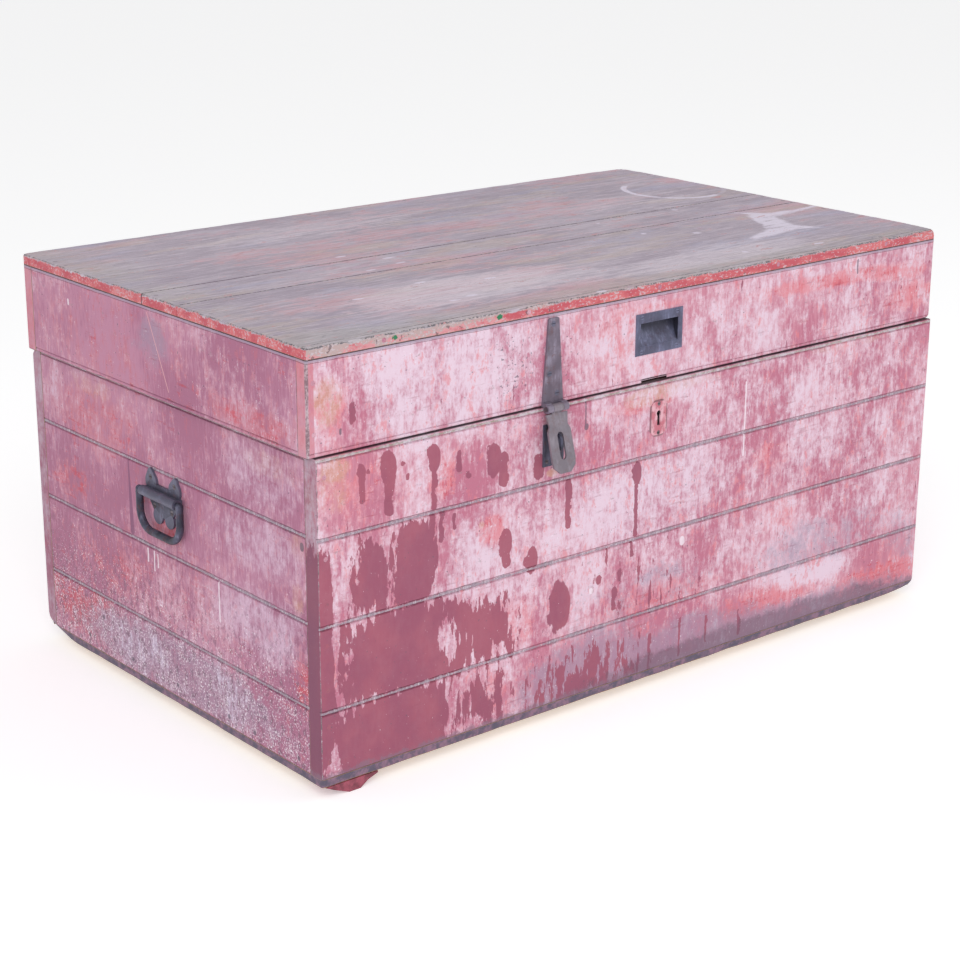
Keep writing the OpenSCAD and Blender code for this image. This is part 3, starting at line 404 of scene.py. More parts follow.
# The same four tables for the side walls, where a place is along Y
SIDE_PALER = (
    (-20, 140, 160, 70, 0.05), (-200, 170, 140, 60, 0.11), (-200, 348, 120, 50, 0.06),
    (-190, 267, 120, 50, 0.07), (100, 60, 140, 40, 0.045), (250, 260, 60, 80, 0.03),
    (80, 440, 200, 70, -0.05),
)
SIDE_REDDER = (
    (20, 150, 300, 60, 0.05), (50, 60, 340, 50, 0.06), (0, 232, 36, 22, 0.16), (200, 75, 120, 50, 0.08),
    (150, 330, 140, 60, 0.05), (-200, 412, 120, 24, 0.07), (-275, 130, 34, 60, 0.08),
    (220, 240, 70, 40, 0.06),
)
SIDE_TANNED = (
    (-220, 365, 100, 30, 0.45), (160, 370, 120, 24, 0.4), (-270, 285, 26, 30, 0.5),
    (-267, 226, 20, 30, 0.55),
)
SIDE_GREYED = (
    (0, 455, 60, 60, 0.3), (50, 210, 200, 50, 0.2), (0, 60, 400, 60, 0.52), (60, 467, 200, 40, 0.24),
)
# Thin dark marks and pale marks: place, top, foot and half width
FRONT_SCORES = (
    (348, 493, 474, 1.1), (-119.5, 392, 358, 0.9), (-118, 362, 354, 3), (-466, 420, 413, 1.4),
)
FRONT_LIGHTS = (
    (148, 367, 271, 1.2), (45, 188, 176, 4), (-105, 156, 148, 3),
)
SIDE_SCORES = (
    (290.5, 497, 394, 1), (-277, 293, 283, 3.4), (159, 77, 71, 2.6), (197, 42, 36, 2.6), (92, 42, 36, 2.6),
    (-11, 42, 36, 2.6), (-122, 40, 34, 2.6), (-175, 38, 32, 2.6), (-262, 38, 32, 2.6),
)
SIDE_LIGHTS = (
    (190, 476, 468, 1.6), (44, 198, 180, 1.4), (30, 198, 172, 1.2), (22, 196, 178, 1), (-110, 200, 150, 1.2),
)
# A wedge-shaped crack in the left wall and a pale scratch on the lid's left side: both ends and half widths
SIDE_CRACK = (81, 298, 78, 210, 1, 4.2)
SIDE_SCRATCH = (9, 493, -32, 408, 0.5, 0.5)
FRONT_TABLES = (FRONT_PALER, FRONT_REDDER, FRONT_TANNED, FRONT_GREYED)
SIDE_TABLES = (SIDE_PALER, SIDE_REDDER, SIDE_TANNED, SIDE_GREYED)


def metres(values):
    """Lengths in metres, from a row of millimetres."""
    return [value * MM for value in values]


def hills(g, u, v, places):
    """A sum of soft hills, from rows of place, height, half width, half height and amount."""
    total = 0.0
    for *shape, amount in places:
        total = g.reach(u, v, *metres(shape)).above(0.0, 0.7) * amount + total
    return total


def highest(fields):
    """The highest of some fields at each point."""
    return functools.reduce(Field.at_least, fields)


def overpaint(g, u, v):
    """Where the darker coat still lies, as islands and runs with ragged edges."""
    ragged = g.noise((95, 95, 24), detail=5, rough=0.62, shift=3.0)
    wobble = g.noise((100, 100, 60), detail=3, rough=0.6, shift=9.0).swing(12 * MM)
    cover = highest(
        g.block(u, v, *metres(shape)).at_least(-0.4) * strength for *shape, strength in FRONT_PATCHES)
    cover = cover - hills(g, u, v, FRONT_PEELED)
    islands = (cover * 0.7 + ragged).above(0.645, 0.665)
    for row in RUNS:
        place, top, foot, half, head = metres(row)
        gap = g.run(u + wobble, v, place, top, foot, half) + wobble * 0.4
        islands = islands.at_least(gap.below(-0.2 * MM, 0.4 * MM))
        if head:
            blob = g.reach(u + wobble * 0.9, v, place, top - head * 1.5, head, head * 1.8)
            islands = islands.at_least((blob + wobble * 60).above(0.0, 0.08))
    return islands


def dab(g, u, v, row):
    """Distance outside a straight dab of paint, whose row has both ends and the half width at each."""
    from_u, from_v, to_u, to_v, from_half, to_half = metres(row)
    run_u, run_v = to_u - from_u, to_v - from_v
    reach = math.hypot(run_u, run_v)
    along = (u - from_u) * (run_u / reach) + (v - from_v) * (run_v / reach)
    beside = (v - from_v) * (run_u / reach) - (u - from_u) * (run_v / reach)
    kept = along.at_least(0.0).at_most(reach)
    half = kept * ((to_half - from_half) / reach) + from_half
    return g.length(along - kept, beside) - half


def thin_marks(g, u, lines, sway):
    """Thin upright marks, with a little sway."""
    return highest(g.run(u + sway, g.z, *metres(line)).below(-0.4 * MM, 0.6 * MM) for line in lines)


def painted_wood(name, side=False, plain=False):
    """A wall's old pink and red paint. plain leaves out the marks that the photograph shows on that wall."""
    g = Graph(name)
    u = g.y if side else g.x
    p = wall_patterns(g, side)
    tables = SIDE_TABLES if side else FRONT_TABLES
    paler, redder, tanned, greyed = (0.0 if plain else hills(g, u, g.z, table) for table in tables)
    tones = SIDE_TONES if side else FRONT_TONES
    lay_reds(g, p, tones, redder, tanned)
    rubbed = rub_pale(g, p, tones, side, paler, redder)
    hairs = soil(g, p, side, greyed)
    seen_front = not side and not plain
    if seen_front:
        lay_overpaint(g, p)
    speckled = hills(g, u, g.z, FRONT_SPECKLED) if seen_front else 0.0
    spots = g.noise((260, 260, 260), detail=1, shift=14.0) + p.fine.swing(0.2) + speckled
    g.coat(spots.above(0.735, 0.765) * 0.7, SLATE)
    if not plain:
        scratch_wall(g, p, u, side)
    if not side:
        paint_board_ends(g, p, tones[0])
    if seen_front:
        wear_front_corner(g, p)
    draw_lid_lines(g, p)
    wear_edges(g, p)
    if seen_front:
        # painted shade: the keyhole and the notch go near black behind the front
        paint_pit_shade(g)
    g.coat(g.mark("bare").above(0.4, 0.6), bare_pine(g, (9, 9, 200), g.z, wall_seams))
    g.bump(rubbed * -0.8 + p.fine * 0.5 + p.streak * 0.4 + p.brush * 0.5 + hairs * -0.4, 0.6 * MM, 0.6)
    return g.finish(rubbed * 0.2 + p.fine * 0.2 + 0.36, specular=0.35)


def wall_patterns(g, side):
    """The patterns that a wall's paint is made of."""
    return SimpleNamespace(
        streak=g.noise((110, 110, 15 if side else 24), detail=5, rough=0.68),
        thread=g.noise((360, 360, 56), detail=3, rough=0.62, shift=7.0),
        mottle=g.noise((44, 44, 36), detail=6, rough=0.74, shift=5.0),
        blotch=g.noise((150, 150, 95), detail=4, rough=0.66, shift=23.0),
        patch=g.noise((11, 11, 9), detail=4, rough=0.6, shift=6.0),
        broad=g.noise((4.5, 4.5, 4.0), detail=2, shift=1.0),
        brush=g.noise((18, 18, 230), detail=4, rough=0.64, shift=11.0),
        fine=g.noise((640, 640, 300), detail=2, rough=0.7),
        speck=g.noise((420, 420, 420), detail=2, rough=0.6, shift=2.0),
        near_foot=g.z.below(0.06, 0.25) if side else g.z.below(0.02, 0.16))


def lay_reds(g, p, tones, redder, tanned):
    """The reds and pinks of the coat itself."""
    deep, mid, warm, _ = tones
    g.colour = g.blend((p.broad * 0.4 + p.patch * 0.35 + p.thread * 0.25).above(0.42, 0.58), deep, mid)
    warmed = p.streak * 0.30 + p.patch * 0.35 + p.mottle * 0.30 + p.blotch * 0.15
    g.coat((warmed + redder).above(0.54, 0.65) * 0.85, warm)
    red = p.mottle * 0.55 + p.brush * 0.35 + p.streak * 0.20 + redder
    g.coat(red.above(0.60, 0.69) * 0.75, RED)
    g.coat((tanned + p.mottle.swing(1.2)).above(0.25, 0.75) * 0.65, OCHRE)


def rub_pale(g, p, tones, side, paler, redder):
    """Places rubbed pale, with a blush over them. Gives back how rubbed each point is."""
    *_, warm, pale = tones
    rubbed = p.streak * 0.20 + p.mottle * 0.32 + p.blotch * 0.26
    rubbed = rubbed + p.patch * 0.38 + p.thread * 0.12 + p.fine * 0.10 + paler
    level = 0.755 if side else 0.705
    soft = 0.09
    g.coat(rubbed.above(level - soft, level + soft) * (0.84 if side else 0.94), pale)
    blush = p.blotch * 0.45 + g.noise((60, 60, 26), detail=5, rough=0.7, shift=27.0) * 0.55
    g.coat((blush + redder * 0.4).above(0.53, 0.62) * (0.40 if side else 0.62), warm)
    return rubbed


def soil(g, p, side, greyed):
    """Grey, chalky and dirty places, more of them near the foot. Gives back the lines of the brush."""
    cool = greyed + p.mottle.swing(1.1) + p.patch.swing(0.5) + p.fine.swing(0.3) + p.near_foot * 0.12
    g.coat(cool.above(0.26, 0.62) * 0.70, LAVENDER)
    flecks = p.speck * 0.6 + p.fine * 0.45 + p.mottle * 0.35 + p.near_foot * (0.11 if side else 0.02)
    wash = p.streak * 0.30 + p.blotch * 0.30 + p.patch * 0.30 + p.fine * 0.15 + p.near_foot * 0.07
    g.coat(wash.above(0.62, 0.70) * p.near_foot * (0.60 if side else 0.35), CHALK_BLUE)
    if side:
        g.coat(p.blotch.below(0.40, 0.48) * p.near_foot * 0.55, GRIME)
    g.coat(flecks.above(0.84, 0.92) * 0.85, CHALK)
    hairs = (p.brush * 0.8 + p.mottle * 0.4).above(0.70, 0.77)
    g.coat(hairs * 0.30, MAUVE)
    smears = (g.noise((60, 60, 150), detail=5, rough=0.7, shift=21.0) + p.fine.swing(0.3)).above(0.63, 0.72)
    g.coat(smears * 0.45, SMEAR)
    return hairs


def lay_overpaint(g, p):
    """The darker coat that is left on the front, and the dirt along its foot."""
    islands = overpaint(g, g.x, g.z) * (p.fine * 0.5 + p.speck).below(1.0, 1.08)
    g.coat(islands * 0.95, g.blend(p.patch.above(0.4, 0.6), MAUVE, MAUVE_RED))
    grimed = hills(g, g.x, g.z, FRONT_GRIMED) + p.mottle.swing(1.2) + p.blotch.swing(0.8)
    g.coat(grimed.above(0.25, 0.70) * 0.6, GRIME)


def scratch_wall(g, p, u, side):
    """Thin dark and pale marks, and on the left side a crack and a scratch."""
    sway = p.mottle.swing(4 * MM)
    scores, lights = (SIDE_SCORES, SIDE_LIGHTS) if side else (FRONT_SCORES, FRONT_LIGHTS)
    g.coat(thin_marks(g, u, scores, sway) * 0.75, SLATE)
    g.coat(thin_marks(g, u, lights, sway) * 0.75, CHALK)
    if side:
        on_left = g.x.below(-0.45, -0.44)
        crack = (dab(g, u, g.z, SIDE_CRACK) + sway * 0.3).below(0.0, 0.6 * MM)
        g.coat(crack * 0.85, CRACK_MAUVE)
        scratch = dab(g, u, g.z, SIDE_SCRATCH).below(0.0, 0.5 * MM)
        g.coat(scratch * 0.8 * on_left, EDGE_PALE)


def paint_board_ends(g, p, deep):
    """The ends of the front and back boards, which the sides show, and the dark line along their foot."""
    strip = g.x.size().above(0.4990, 0.4996)
    on_lid = g.z.above(lid_foot - 1 * MM, lid_foot)
    g.coat(strip * (1.0 - on_lid) * 0.44, STRIP)
    end_colour = g.blend(p.mottle.above(0.42, 0.62) * 0.7, LID_END, deep)
    g.coat(strip * on_lid * 0.75, end_colour)
    foot = (g.z + p.mottle.swing(34 * MM) + p.fine.swing(8 * MM)).below(26 * MM, 31 * MM)
    g.coat(foot * 0.7, FOOT_MAUVE)


def wear_front_corner(g, p):
    """The front left corner, rubbed to a thin grey line: wide on the lid and a hair on the body."""
    for corner, half, held in ((LID_LOW, 3.2 * MM, g.z.above(lid_foot - MM, lid_foot)),
                               (BODY_LOW, 1.4 * MM, g.z.below(lid_foot - MM, lid_foot))):
        inside = (g.x - corner.x).at_least(g.y - corner.y) + p.mottle.swing(4 * MM)
        line = inside.below(half * 0.7, half) * held
        shade = (p.mottle * 0.6 + p.fine * 0.5).above(0.48, 0.64)
        g.coat(line * 0.8, g.blend(shade, ARRIS_GREY, ARRIS_PALE))


def draw_lid_lines(g, p):
    """Painted shade in the crack under the lid's slab, with a worn pale line below it."""
    shaken = g.z + p.mottle.swing(1.6 * MM) + p.fine.swing(0.8 * MM)
    below = slab_foot - shaken
    light = below.above(1.0 * MM, 1.4 * MM) * below.below(3.4 * MM, 3.8 * MM)
    dark = below.below(1.1 * MM, 1.5 * MM) * below.above(-0.8 * MM, -0.4 * MM)
    thin = below.above(3.9 * MM, 4.1 * MM) * below.below(4.7 * MM, 5.0 * MM)
    g.coat(light * 0.75, CRACK_GREY)
    g.coat(thin * 0.6, DIRT)
    # painted shade: the crack under the slab drawn near black
    g.coat(dark * 0.85, DARK)


def wear_edges(g, p):
    """Dirt in the grooves, bare grey wood on the worn edges, and painted shade in the gap under the lid: near
    black on the rims' outer edges, worn grey wood further in.
    """
    g.coat((g.mark("grime") + p.mottle.swing(1.1) + p.fine.swing(0.6)).above(0.30, 0.72) * 0.85, DIRT)
    bared = (g.mark("wear") + p.mottle.swing(1.4) + p.fine.swing(1.1)).above(0.48, 0.70)
    bead = g.blend((p.thread * 0.6 + p.fine * 0.5).above(0.52, 0.72), BEAD_GREY, BEAD_LIGHT)
    at_rim = g.z.above(rim_z - 2.4 * BEAD_R, rim_z - 2.0 * BEAD_R)
    at_rim = at_rim * g.z.below(rim_z + 0.2 * MM, rim_z + 0.5 * MM)
    bead = g.blend(at_rim, bead, g.blend(p.mottle.above(0.4, 0.6), RIM_GREY, BEAD_LIGHT))
    g.coat(bared * 0.92, bead)
    # painted shade: the rims at the gap under the lid go near black towards the outside
    gap = (g.z - lid_foot).size().below(0.5 * MM, 1.6 * MM)
    inward = (g.x - BODY_LOW.x).at_most(BODY_HIGH.x - g.x)
    inward = inward.at_most(g.y - BODY_LOW.y).at_most(BODY_HIGH.y - g.y)
    g.coat(gap * 0.8, g.blend(inward.above(6 * MM, 9 * MM), DARK, PINE_GREY))


def paint_pit_shade(g):
    """Painted shade inside the keyhole and the notch of the lid's foot: near black where the surface lies
    behind the front.
    """
    for row, face in ((KEYHOLE_PIT, BODY_LOW.y), (NOTCH_PIT, LID_LOW.y)):
        behind = (g.y - face).above(0.5 * MM, 1.0 * MM)
        g.coat(g.block(g.x, g.z, *metres(row)).above(0.0, 0.02) * behind, DARK)


def bare_pine(g, grain, across, seams):
    """Unpainted wood, gone grey-brown: grain is its lines a metre along each axis, seams its seams across."""
    lines = g.noise(grain, detail=4, rough=0.6, shift=19.0, warp=0.4)
    stain = g.noise((7, 7, 9), detail=4, rough=0.6, shift=29.0)
    colour = g.blend(lines.above(0.34, 0.70), PINE_DARK, PINE)
    colour = g.blend(stain.above(0.50, 0.74) * 0.5, colour, PINE_GREY)
    for place in seams:
        colour = g.blend((across - place).size().below(0.3 * MM, 1.0 * MM) * 0.8, colour, DIRT)
    return colour


def arc_mark(g, half, start, end):
    """A stroke along the ring on the top, its angles in degrees from the way to -X."""
    dx = RING_AT[0] - g.x
    dy = RING_AT[1] - g.y
    line = (g.length(dx, dy) - RING_R).size()
    turn = g.math("ARCTAN2", dy, dx)
    ends = turn.above(math.radians(start), math.radians(start + 8))
    ends = ends * turn.below(math.radians(end - 8), math.radians(end))
    return line.below(half * 0.5, half) * ends


# The pale ring that a pot left: half of it is bright
RING_AT = (438 * MM, 122 * MM)
RING_R = 72 * MM
# Dabs of the pale splash near the right end of the top: both ends and the half width at each
SPLASHES = (
    (495, -94, 455, -102, 3, 5), (455, -102, 400, -100, 5, 13), (400, -100, 374, -60, 12, 3.5),
    (385, -98, 352, -165, 17, 21), (356, -172, 388, -198, 19, 3), (345, -176, 268, -197, 18, 5),
)
SPLASH_FLECKS = (
    (179, 1), (178, -87), (235, -126), (326, 5), (197, -248),
)
# Small dabs of it, drawn out along the grain, and the paler parts of the top
SMALL_FLECKS = (
    (-213, 41), (-171, -1), (-176, -32), (-226, -133), (-92, -299), (-230, -44), (-333, -157), (-147, -166),
    (-251, -229), (-221, -222), (310, -270),
)
TOP_PALER = (
    (-200, -190, 260, 100, 0.5), (150, -240, 300, 70, 0.4), (-150, 200, 300, 80, 0.3),
    (330, 80, 200, 100, 0.25),
)
# Green spots along the front edge of the top
MOSS_SPOTS_AT = (-393, -248)


def top_wood(name):
    """The lid's top: paint rubbed down to grey and tan along the grain, with pale splashes."""
    g = Graph(name)
    p = SimpleNamespace(
        grain=g.noise((6, 150, 150), detail=5, rough=0.62, warp=0.2),
        drift=g.noise((3.5, 15, 15), detail=5, rough=0.62, shift=4.0),
        broad=g.noise((3.0, 6.0, 6.0), detail=3, shift=8.0),
        mottle=g.noise((28, 60, 60), detail=5, rough=0.70, shift=12.0),
        fine=g.noise((110, 800, 800), detail=2, rough=0.7),
        speck=g.noise((300, 420, 420), detail=2, shift=3.0))
    lines = lay_top(g, p)
    lay_splashes(g, p)
    g.coat((g.mark("grime") + p.drift.swing(0.8) + p.fine.swing(0.3)).above(0.30, 0.70) * 0.8, DIRT)
    paint_top_edge(g, p)
    g.coat(g.mark("bare").above(0.4, 0.6), bare_pine(g, GRAIN_ALONG_X, g.y, top_seams))
    g.bump(p.grain * 0.7 + p.fine * 0.6 + lines * -0.4, 0.5 * MM, 0.6)
    return g.finish(p.fine * 0.2 + 0.46, specular=0.3)


def lay_top(g, p):
    """The top's greys, pinks and tans, and their streaks. Gives back the fine dark lines along the grain."""
    cloudy = p.grain * 0.35 + p.drift * 0.5 + p.mottle * 0.2
    g.colour = g.blend(cloudy.above(0.44, 0.62), TOP_SHADE, TOP_GREY)
    pinker = p.drift * 0.4 + p.broad * 0.6 + p.mottle.swing(0.5)
    g.coat(pinker.above(0.48, 0.62) * 0.8, TOP_PINK)
    bluer = g.noise((4, 14, 14), detail=4, rough=0.6, shift=25.0) + p.mottle.swing(0.4)
    g.coat(bluer.above(0.54, 0.68) * 0.5, TOP_BLUE)
    tan = g.noise((5, 24, 24), detail=4, shift=17.0) + p.mottle.swing(0.4)
    g.coat(tan.above(0.54, 0.68) * 0.55, TOP_TAN)
    near_edge = g.y.below(-0.290, -0.225) * 0.30 + g.x.below(-0.50, -0.35) * 0.24
    moss = (near_edge + p.mottle * 0.6 + p.drift * 0.4 + p.fine.swing(0.3)).above(0.60, 0.86)
    g.coat(moss * 0.6, TOP_MOSS)
    paler = hills(g, g.x, g.y, TOP_PALER) + p.mottle.swing(0.8) + p.grain.swing(0.8)
    g.coat(paler.above(0.10, 0.60) * 0.8, TOP_PALE)
    nicks = (g.noise((60, 240, 240), detail=4, rough=0.7, shift=31.0) + near_edge * 0.1).above(0.66, 0.71)
    g.coat(nicks * 0.6, SLATE)
    streaks = g.noise((26, 420, 420), detail=4, rough=0.72, shift=33.0)
    g.coat(streaks.above(0.52, 0.64) * 0.34, TOP_STREAK)
    g.coat(streaks.below(0.38, 0.48) * 0.40, TOP_PALE)
    g.coat((p.mottle * 0.7 + p.speck * 0.3).above(0.58, 0.70) * 0.4, TOP_LILAC)
    lines = (p.fine * 0.6 + p.grain * 0.3 + p.mottle * 0.3).above(0.66, 0.76)
    g.coat(lines * 0.35, TOP_LINE)
    g.coat((p.speck * 0.7 + p.fine * 0.3 + p.mottle * 0.2).above(0.75, 0.80) * 0.6, CHALK)
    return lines


def lay_splashes(g, p):
    """The pot's ring, and the pale splash with its flecks."""
    ragged = p.mottle.swing(16 * MM) + p.fine.swing(7 * MM) + g.noise((40, 40, 40)).swing(10 * MM)
    bright = arc_mark(g, 5.6 * MM, -62, 108)
    faint = arc_mark(g, 4.4 * MM, -178, 178) * 0.26
    splash = bright.at_least(faint) * (p.mottle * 0.7 + p.grain * 0.3).above(0.30, 0.44)
    for row in SPLASHES:
        splash = splash.at_least((dab(g, g.x, g.y, row) + ragged).below(-4 * MM, 4 * MM))
    for x, y in map(metres, SPLASH_FLECKS):
        splash = splash.at_least((g.length(g.x - x, g.y - y) + ragged).below(3 * MM, 6 * MM) * 0.8)
    for x, y in map(metres, SMALL_FLECKS):
        fleck = g.reach(g.x, g.y, x, y, 11 * MM, 4.5 * MM) + p.mottle.swing(1.2)
        splash = splash.at_least(fleck.above(0.10, 0.45) * 0.8)
    patchy = (p.mottle * 0.6 + p.grain * 0.4).above(0.36, 0.50)
    g.coat(splash * patchy * 0.9, SPLASH_WHITE)


def paint_top_edge(g, p):
    """The red edge of the top, paler and greyed at its front, with a pale arris, green spots and a cut."""
    shaken = p.mottle.swing(12 * MM) + p.speck.swing(6 * MM)
    down = slab_face - g.z + shaken
    on_edge = down.above(1.6 * MM, 2.6 * MM)
    chips = (p.speck * 0.6 + p.fine * 0.3 + p.mottle * 0.3).above(0.64, 0.70)
    edge = g.blend(p.mottle.above(0.4, 0.62), EDGE_RED, EDGE_SALMON)
    on_front = g.y.below(-0.3030, -0.3025)
    worn_end = g.x.below(-0.42, 0.05)
    paler = (worn_end * 0.7 + p.mottle.swing(1.6)).above(0.25, 0.65) * on_front
    edge = g.blend(paler * 0.7, edge, EDGE_PALE)
    greyed = worn_end * 0.5 + g.z.above(slab_foot + 2 * MM, slab_face) * 0.35
    greyed = greyed + (p.speck - 0.5) + p.mottle.swing(1.6)
    edge = g.blend(greyed.above(0.40, 0.62) * 0.8 * on_front, edge, EDGE_GREY)
    edge = g.blend(chips * 0.6, edge, BEAD_LIGHT)
    pocks = (g.noise((90, 90, 90), detail=3, rough=0.7, shift=41.0) + worn_end * 0.05).above(0.66, 0.70)
    edge = g.blend(pocks * 0.7 * on_front, edge, POCK)
    g.coat(on_edge, edge)
    arris = down.above(-0.4 * MM, 0.4 * MM) * down.below(1.4 * MM, 2.4 * MM) * g.mark("wear").above(0.1, 0.4)
    arris_colour = g.blend((p.speck * 0.7 + p.mottle * 0.4).above(0.52, 0.62), ARRIS_DARK, TOP_MOSS)
    g.coat(arris * (p.fine * 0.4 + p.mottle).above(0.45, 0.70) * 0.9, arris_colour)
    for x in metres(MOSS_SPOTS_AT):
        spot = g.length((g.x - x) * 0.7, g.z - (slab_face - 6 * MM)).below(1.0 * MM, 5.0 * MM)
        g.coat((spot + p.speck.swing(1.6) + (p.mottle - 0.5)).above(0.5, 0.7) * on_front, MOSS_SPOT)
    tick = g.run(g.y, g.z, 18.5 * MM, slab_face, slab_foot, 0.9 * MM).below(-0.3 * MM, 0.3 * MM)
    g.coat(tick * g.x.below(-0.5070, -0.5060) * 0.9, DIRT)


def bare_wood(name):
    """The bearers' bare pine, with some dirt."""
    g = Graph(name)
    fine = g.noise((60, 800, 800), detail=2, rough=0.7)
    g.colour = g.blend(g.mark("grime").above(0.3, 0.9) * 0.8, bare_pine(g, GRAIN_ALONG_X, g.y, ()), DIRT)
    g.bump(fine, 0.5 * MM, 0.6)
    return g.finish(fine * 0.2 + 0.6, specular=0.25)


def slate_wood(name):
    """The bottom boards: slate and mauve paint on the edges that show, bare pine above and below."""
    g = Graph(name)
    cloud = g.noise((90, 90, 90), detail=4, rough=0.6)
    fine = g.noise((900, 900, 900), detail=2, rough=0.7)
    g.colour = g.blend((cloud + fine.swing(0.3)).above(0.38, 0.66), EDGE_SLATE, EDGE_MAUVE)
    g.coat(g.mark("bare").above(0.4, 0.6), bare_pine(g, GRAIN_ALONG_X, g.y, floor_seams))
    g.bump(fine * 0.5 + cloud * 0.5, 0.3 * MM, 0.6)
    return g.finish(fine * 0.2 + 0.5, specular=0.3)


def iron(name, dark, middle, light, brown=0.35, pocket=None):
    """Old iron, rubbed on high places, with pits and some rust. pocket is a node whose hollow gets painted
    shade, darker towards its back and on its right wall.
    """
    g = Graph(name)
    cloud = g.noise((55, 55, 55), detail=4, rough=0.6)
    brushed = g.noise((300, 300, 60), detail=3, shift=2.0)
    pits = g.noise((900, 900, 900), detail=2, rough=0.7)
    g.colour = g.blend((cloud * 0.7 + brushed * 0.3).above(0.40, 0.60), dark, middle)
    g.coat((cloud * 0.5 + brushed * 0.5).above(0.54, 0.68) * 0.8, light)
    rust = (g.noise((120, 120, 120), detail=4, shift=6.0) + pits.swing(0.5)).above(0.54, 0.66)
    g.coat(rust * brown, RUST)
    g.coat(g.curved().above(0.52, 0.60) * 0.5, light)
    # painted shade in the pull's pocket: darker with depth, and dark on its right wall
    if pocket:
        low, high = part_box(pocket)
        behind = g.y - low.y
        deep = behind.above(3 * MM, 11 * MM) * 0.7
        right_end = (low.x + high.x + PULL_POCKET_W) / 2
        corner = g.x.above(right_end - 0.9 * MM, right_end - 0.3 * MM) * behind.above(0.5 * MM, 1.2 * MM)
        g.coat(deep.at_least(corner * 0.85), IRON_SHADE)
    g.bump(pits * 0.6 + cloud * 0.6 + brushed * 0.2, 0.35 * MM, 0.7)
    return g.finish(rust * 0.25 + pits * 0.15 + 0.36, metallic=0.35, specular=0.4)


def metal(name, dark, light, rough, metallic):
    """A pitted surface of two cloudy tones."""
    g = Graph(name)
    cloud = g.noise((90, 90, 90), detail=4, rough=0.6)
    pits = g.noise((1100, 1100, 1100), detail=2, rough=0.7)
    g.colour = g.blend((cloud + pits.swing(0.3)).above(0.38, 0.66), dark, light)
    g.bump(pits * 0.5 + cloud * 0.5, 0.25 * MM, 0.6)
    return g.finish(pits * 0.2 + rough, metallic=metallic)


def painted_nails(name):
    """Nail heads under the paint: grey on the lid's top, mauve on the walls."""
    g = Graph(name)
    pits = g.noise((700, 700, 700), detail=2, rough=0.7)
    cloud = g.noise((25, 25, 25), detail=2)
    wall = g.blend(cloud.above(0.4, 0.6), srgb(190, 126, 146), srgb(214, 166, 182))
    wall = g.blend(g.x.below(-0.47, -0.46) * g.z.below(0.24, 0.26), wall, MAUVE_RED)
    top = g.blend(cloud.above(0.4, 0.6), srgb(164, 150, 162), srgb(188, 176, 186))
    g.colour = g.blend(g.z.above(slab_face - 0.4 * MM, slab_face - 0.2 * MM), wall, top)
    g.coat(pits.above(0.52, 0.66) * 0.6, srgb(116, 88, 100))
    g.bump(pits, 0.3 * MM, 0.6)
    return g.finish(pits * 0.2 + 0.45)


def painted_iron(name):
    """The keyhole plate, painted over with the front and chipped to the metal."""
    g = Graph(name)
    chips = g.noise((260, 260, 260), detail=3, rough=0.6)
    cloud = g.noise((90, 90, 60), detail=4)
    g.colour = g.blend(cloud.above(0.4, 0.6), srgb(196, 110, 126), srgb(226, 174, 186))
    g.coat(chips.above(0.58, 0.66) * 0.6, srgb(128, 84, 86))
    from_edge = (g.x - keyhole_x).size().above(11.2 * MM, 12.6 * MM)
    from_end = (g.z - keyhole_z).size().above(19.5 * MM, 21.2 * MM)
    g.coat((from_edge.at_least(from_end) + (chips - 0.5)).above(0.4, 0.7) * 0.7, srgb(108, 82, 90))
    g.bump(chips, 0.3 * MM, 0.6)
    return g.finish(cloud * 0.2 + 0.45)


def ripple(seed, scale, *lengths):
    """Smooth uneven values from -1 to 1, from a few waves of seeded direction; scale is waves a metre."""
    draw = np.random.default_rng(seed)
    total = 0.0
    waves = 6
    for k in range(waves):
        direction = draw.normal(size=len(lengths))
        direction /= np.linalg.norm(direction)
        turn = draw.uniform(0, 2 * np.pi)
        rate = 2 * np.pi * scale * (0.6 + 0.45 * k)
        total = total + np.sin(rate * sum(d * x for d, x in zip(direction, lengths)) + turn)
    return total / (waves * 0.7)


def graded(length, step, first=0.4 * MM, growth=1.7):
    """Places from 0 to length: close together at both ends, and about a step apart between."""
    near = [0.0]
    gap = first
    while gap < step and near[-1] + 2 * gap < length / 2:
        near.append(near[-1] + gap)
        gap *= growth
    middle = length - 2 * near[-1]
    count = max(1, round(middle / step))
    inner = [near[-1] + middle * k / count for k in range(1, count)]
    return np.array(near + inner + [length - d for d in reversed(near)])


def shell(us, vs, ws):
    """The outside of a lattice: its points as three arrays, and its quads."""
    counts = (len(us), len(vs), len(ws))
    outside = np.zeros(counts, bool)
    outside[[0, -1]] = True
    outside[:, [0, -1]] = True
    outside[:, :, [0, -1]] = True
    index = np.full(counts, -1)
    index[outside] = np.arange(outside.sum())
    points = [grid[outside] for grid in np.meshgrid(us, vs, ws, indexing="ij")]
    quads = []
    for axis, side in itertools.product(range(3), (0, -1)):
        sheet = np.take(index, side, axis)
        faces = np.stack([sheet[:-1, :-1], sheet[1:, :-1], sheet[1:, 1:], sheet[:-1, 1:]], -1).reshape(-1, 4)
        inward = (side == 0) != (axis == 1)
        quads.append(faces[:, ::-1] if inward else faces)
    return points, np.concatenate(quads)


def signed_volume(points, quads):
    """Six times a closed shape's volume, below 0 where its faces look inwards."""
    a, b, c, d = (points[quads[:, k]] for k in range(4))
    return np.einsum("ij,ij->", a, np.cross(b, c)) + np.einsum("ij,ij->", a, np.cross(c, d))


def put(name, data):
    """A new object in the scene."""
    obj = bpy.data.objects.new(name, data)
    bpy.context.scene.collection.objects.link(obj)
    return obj


def piece(name, points, faces, material, body, stands_for, marks):
    """Makes a piece from its points and faces."""
    mesh = bpy.data.meshes.new(name)
    mesh.from_pydata(points.tolist(), [], faces.tolist())
    return dress(name, mesh, material, body, stands_for, marks)


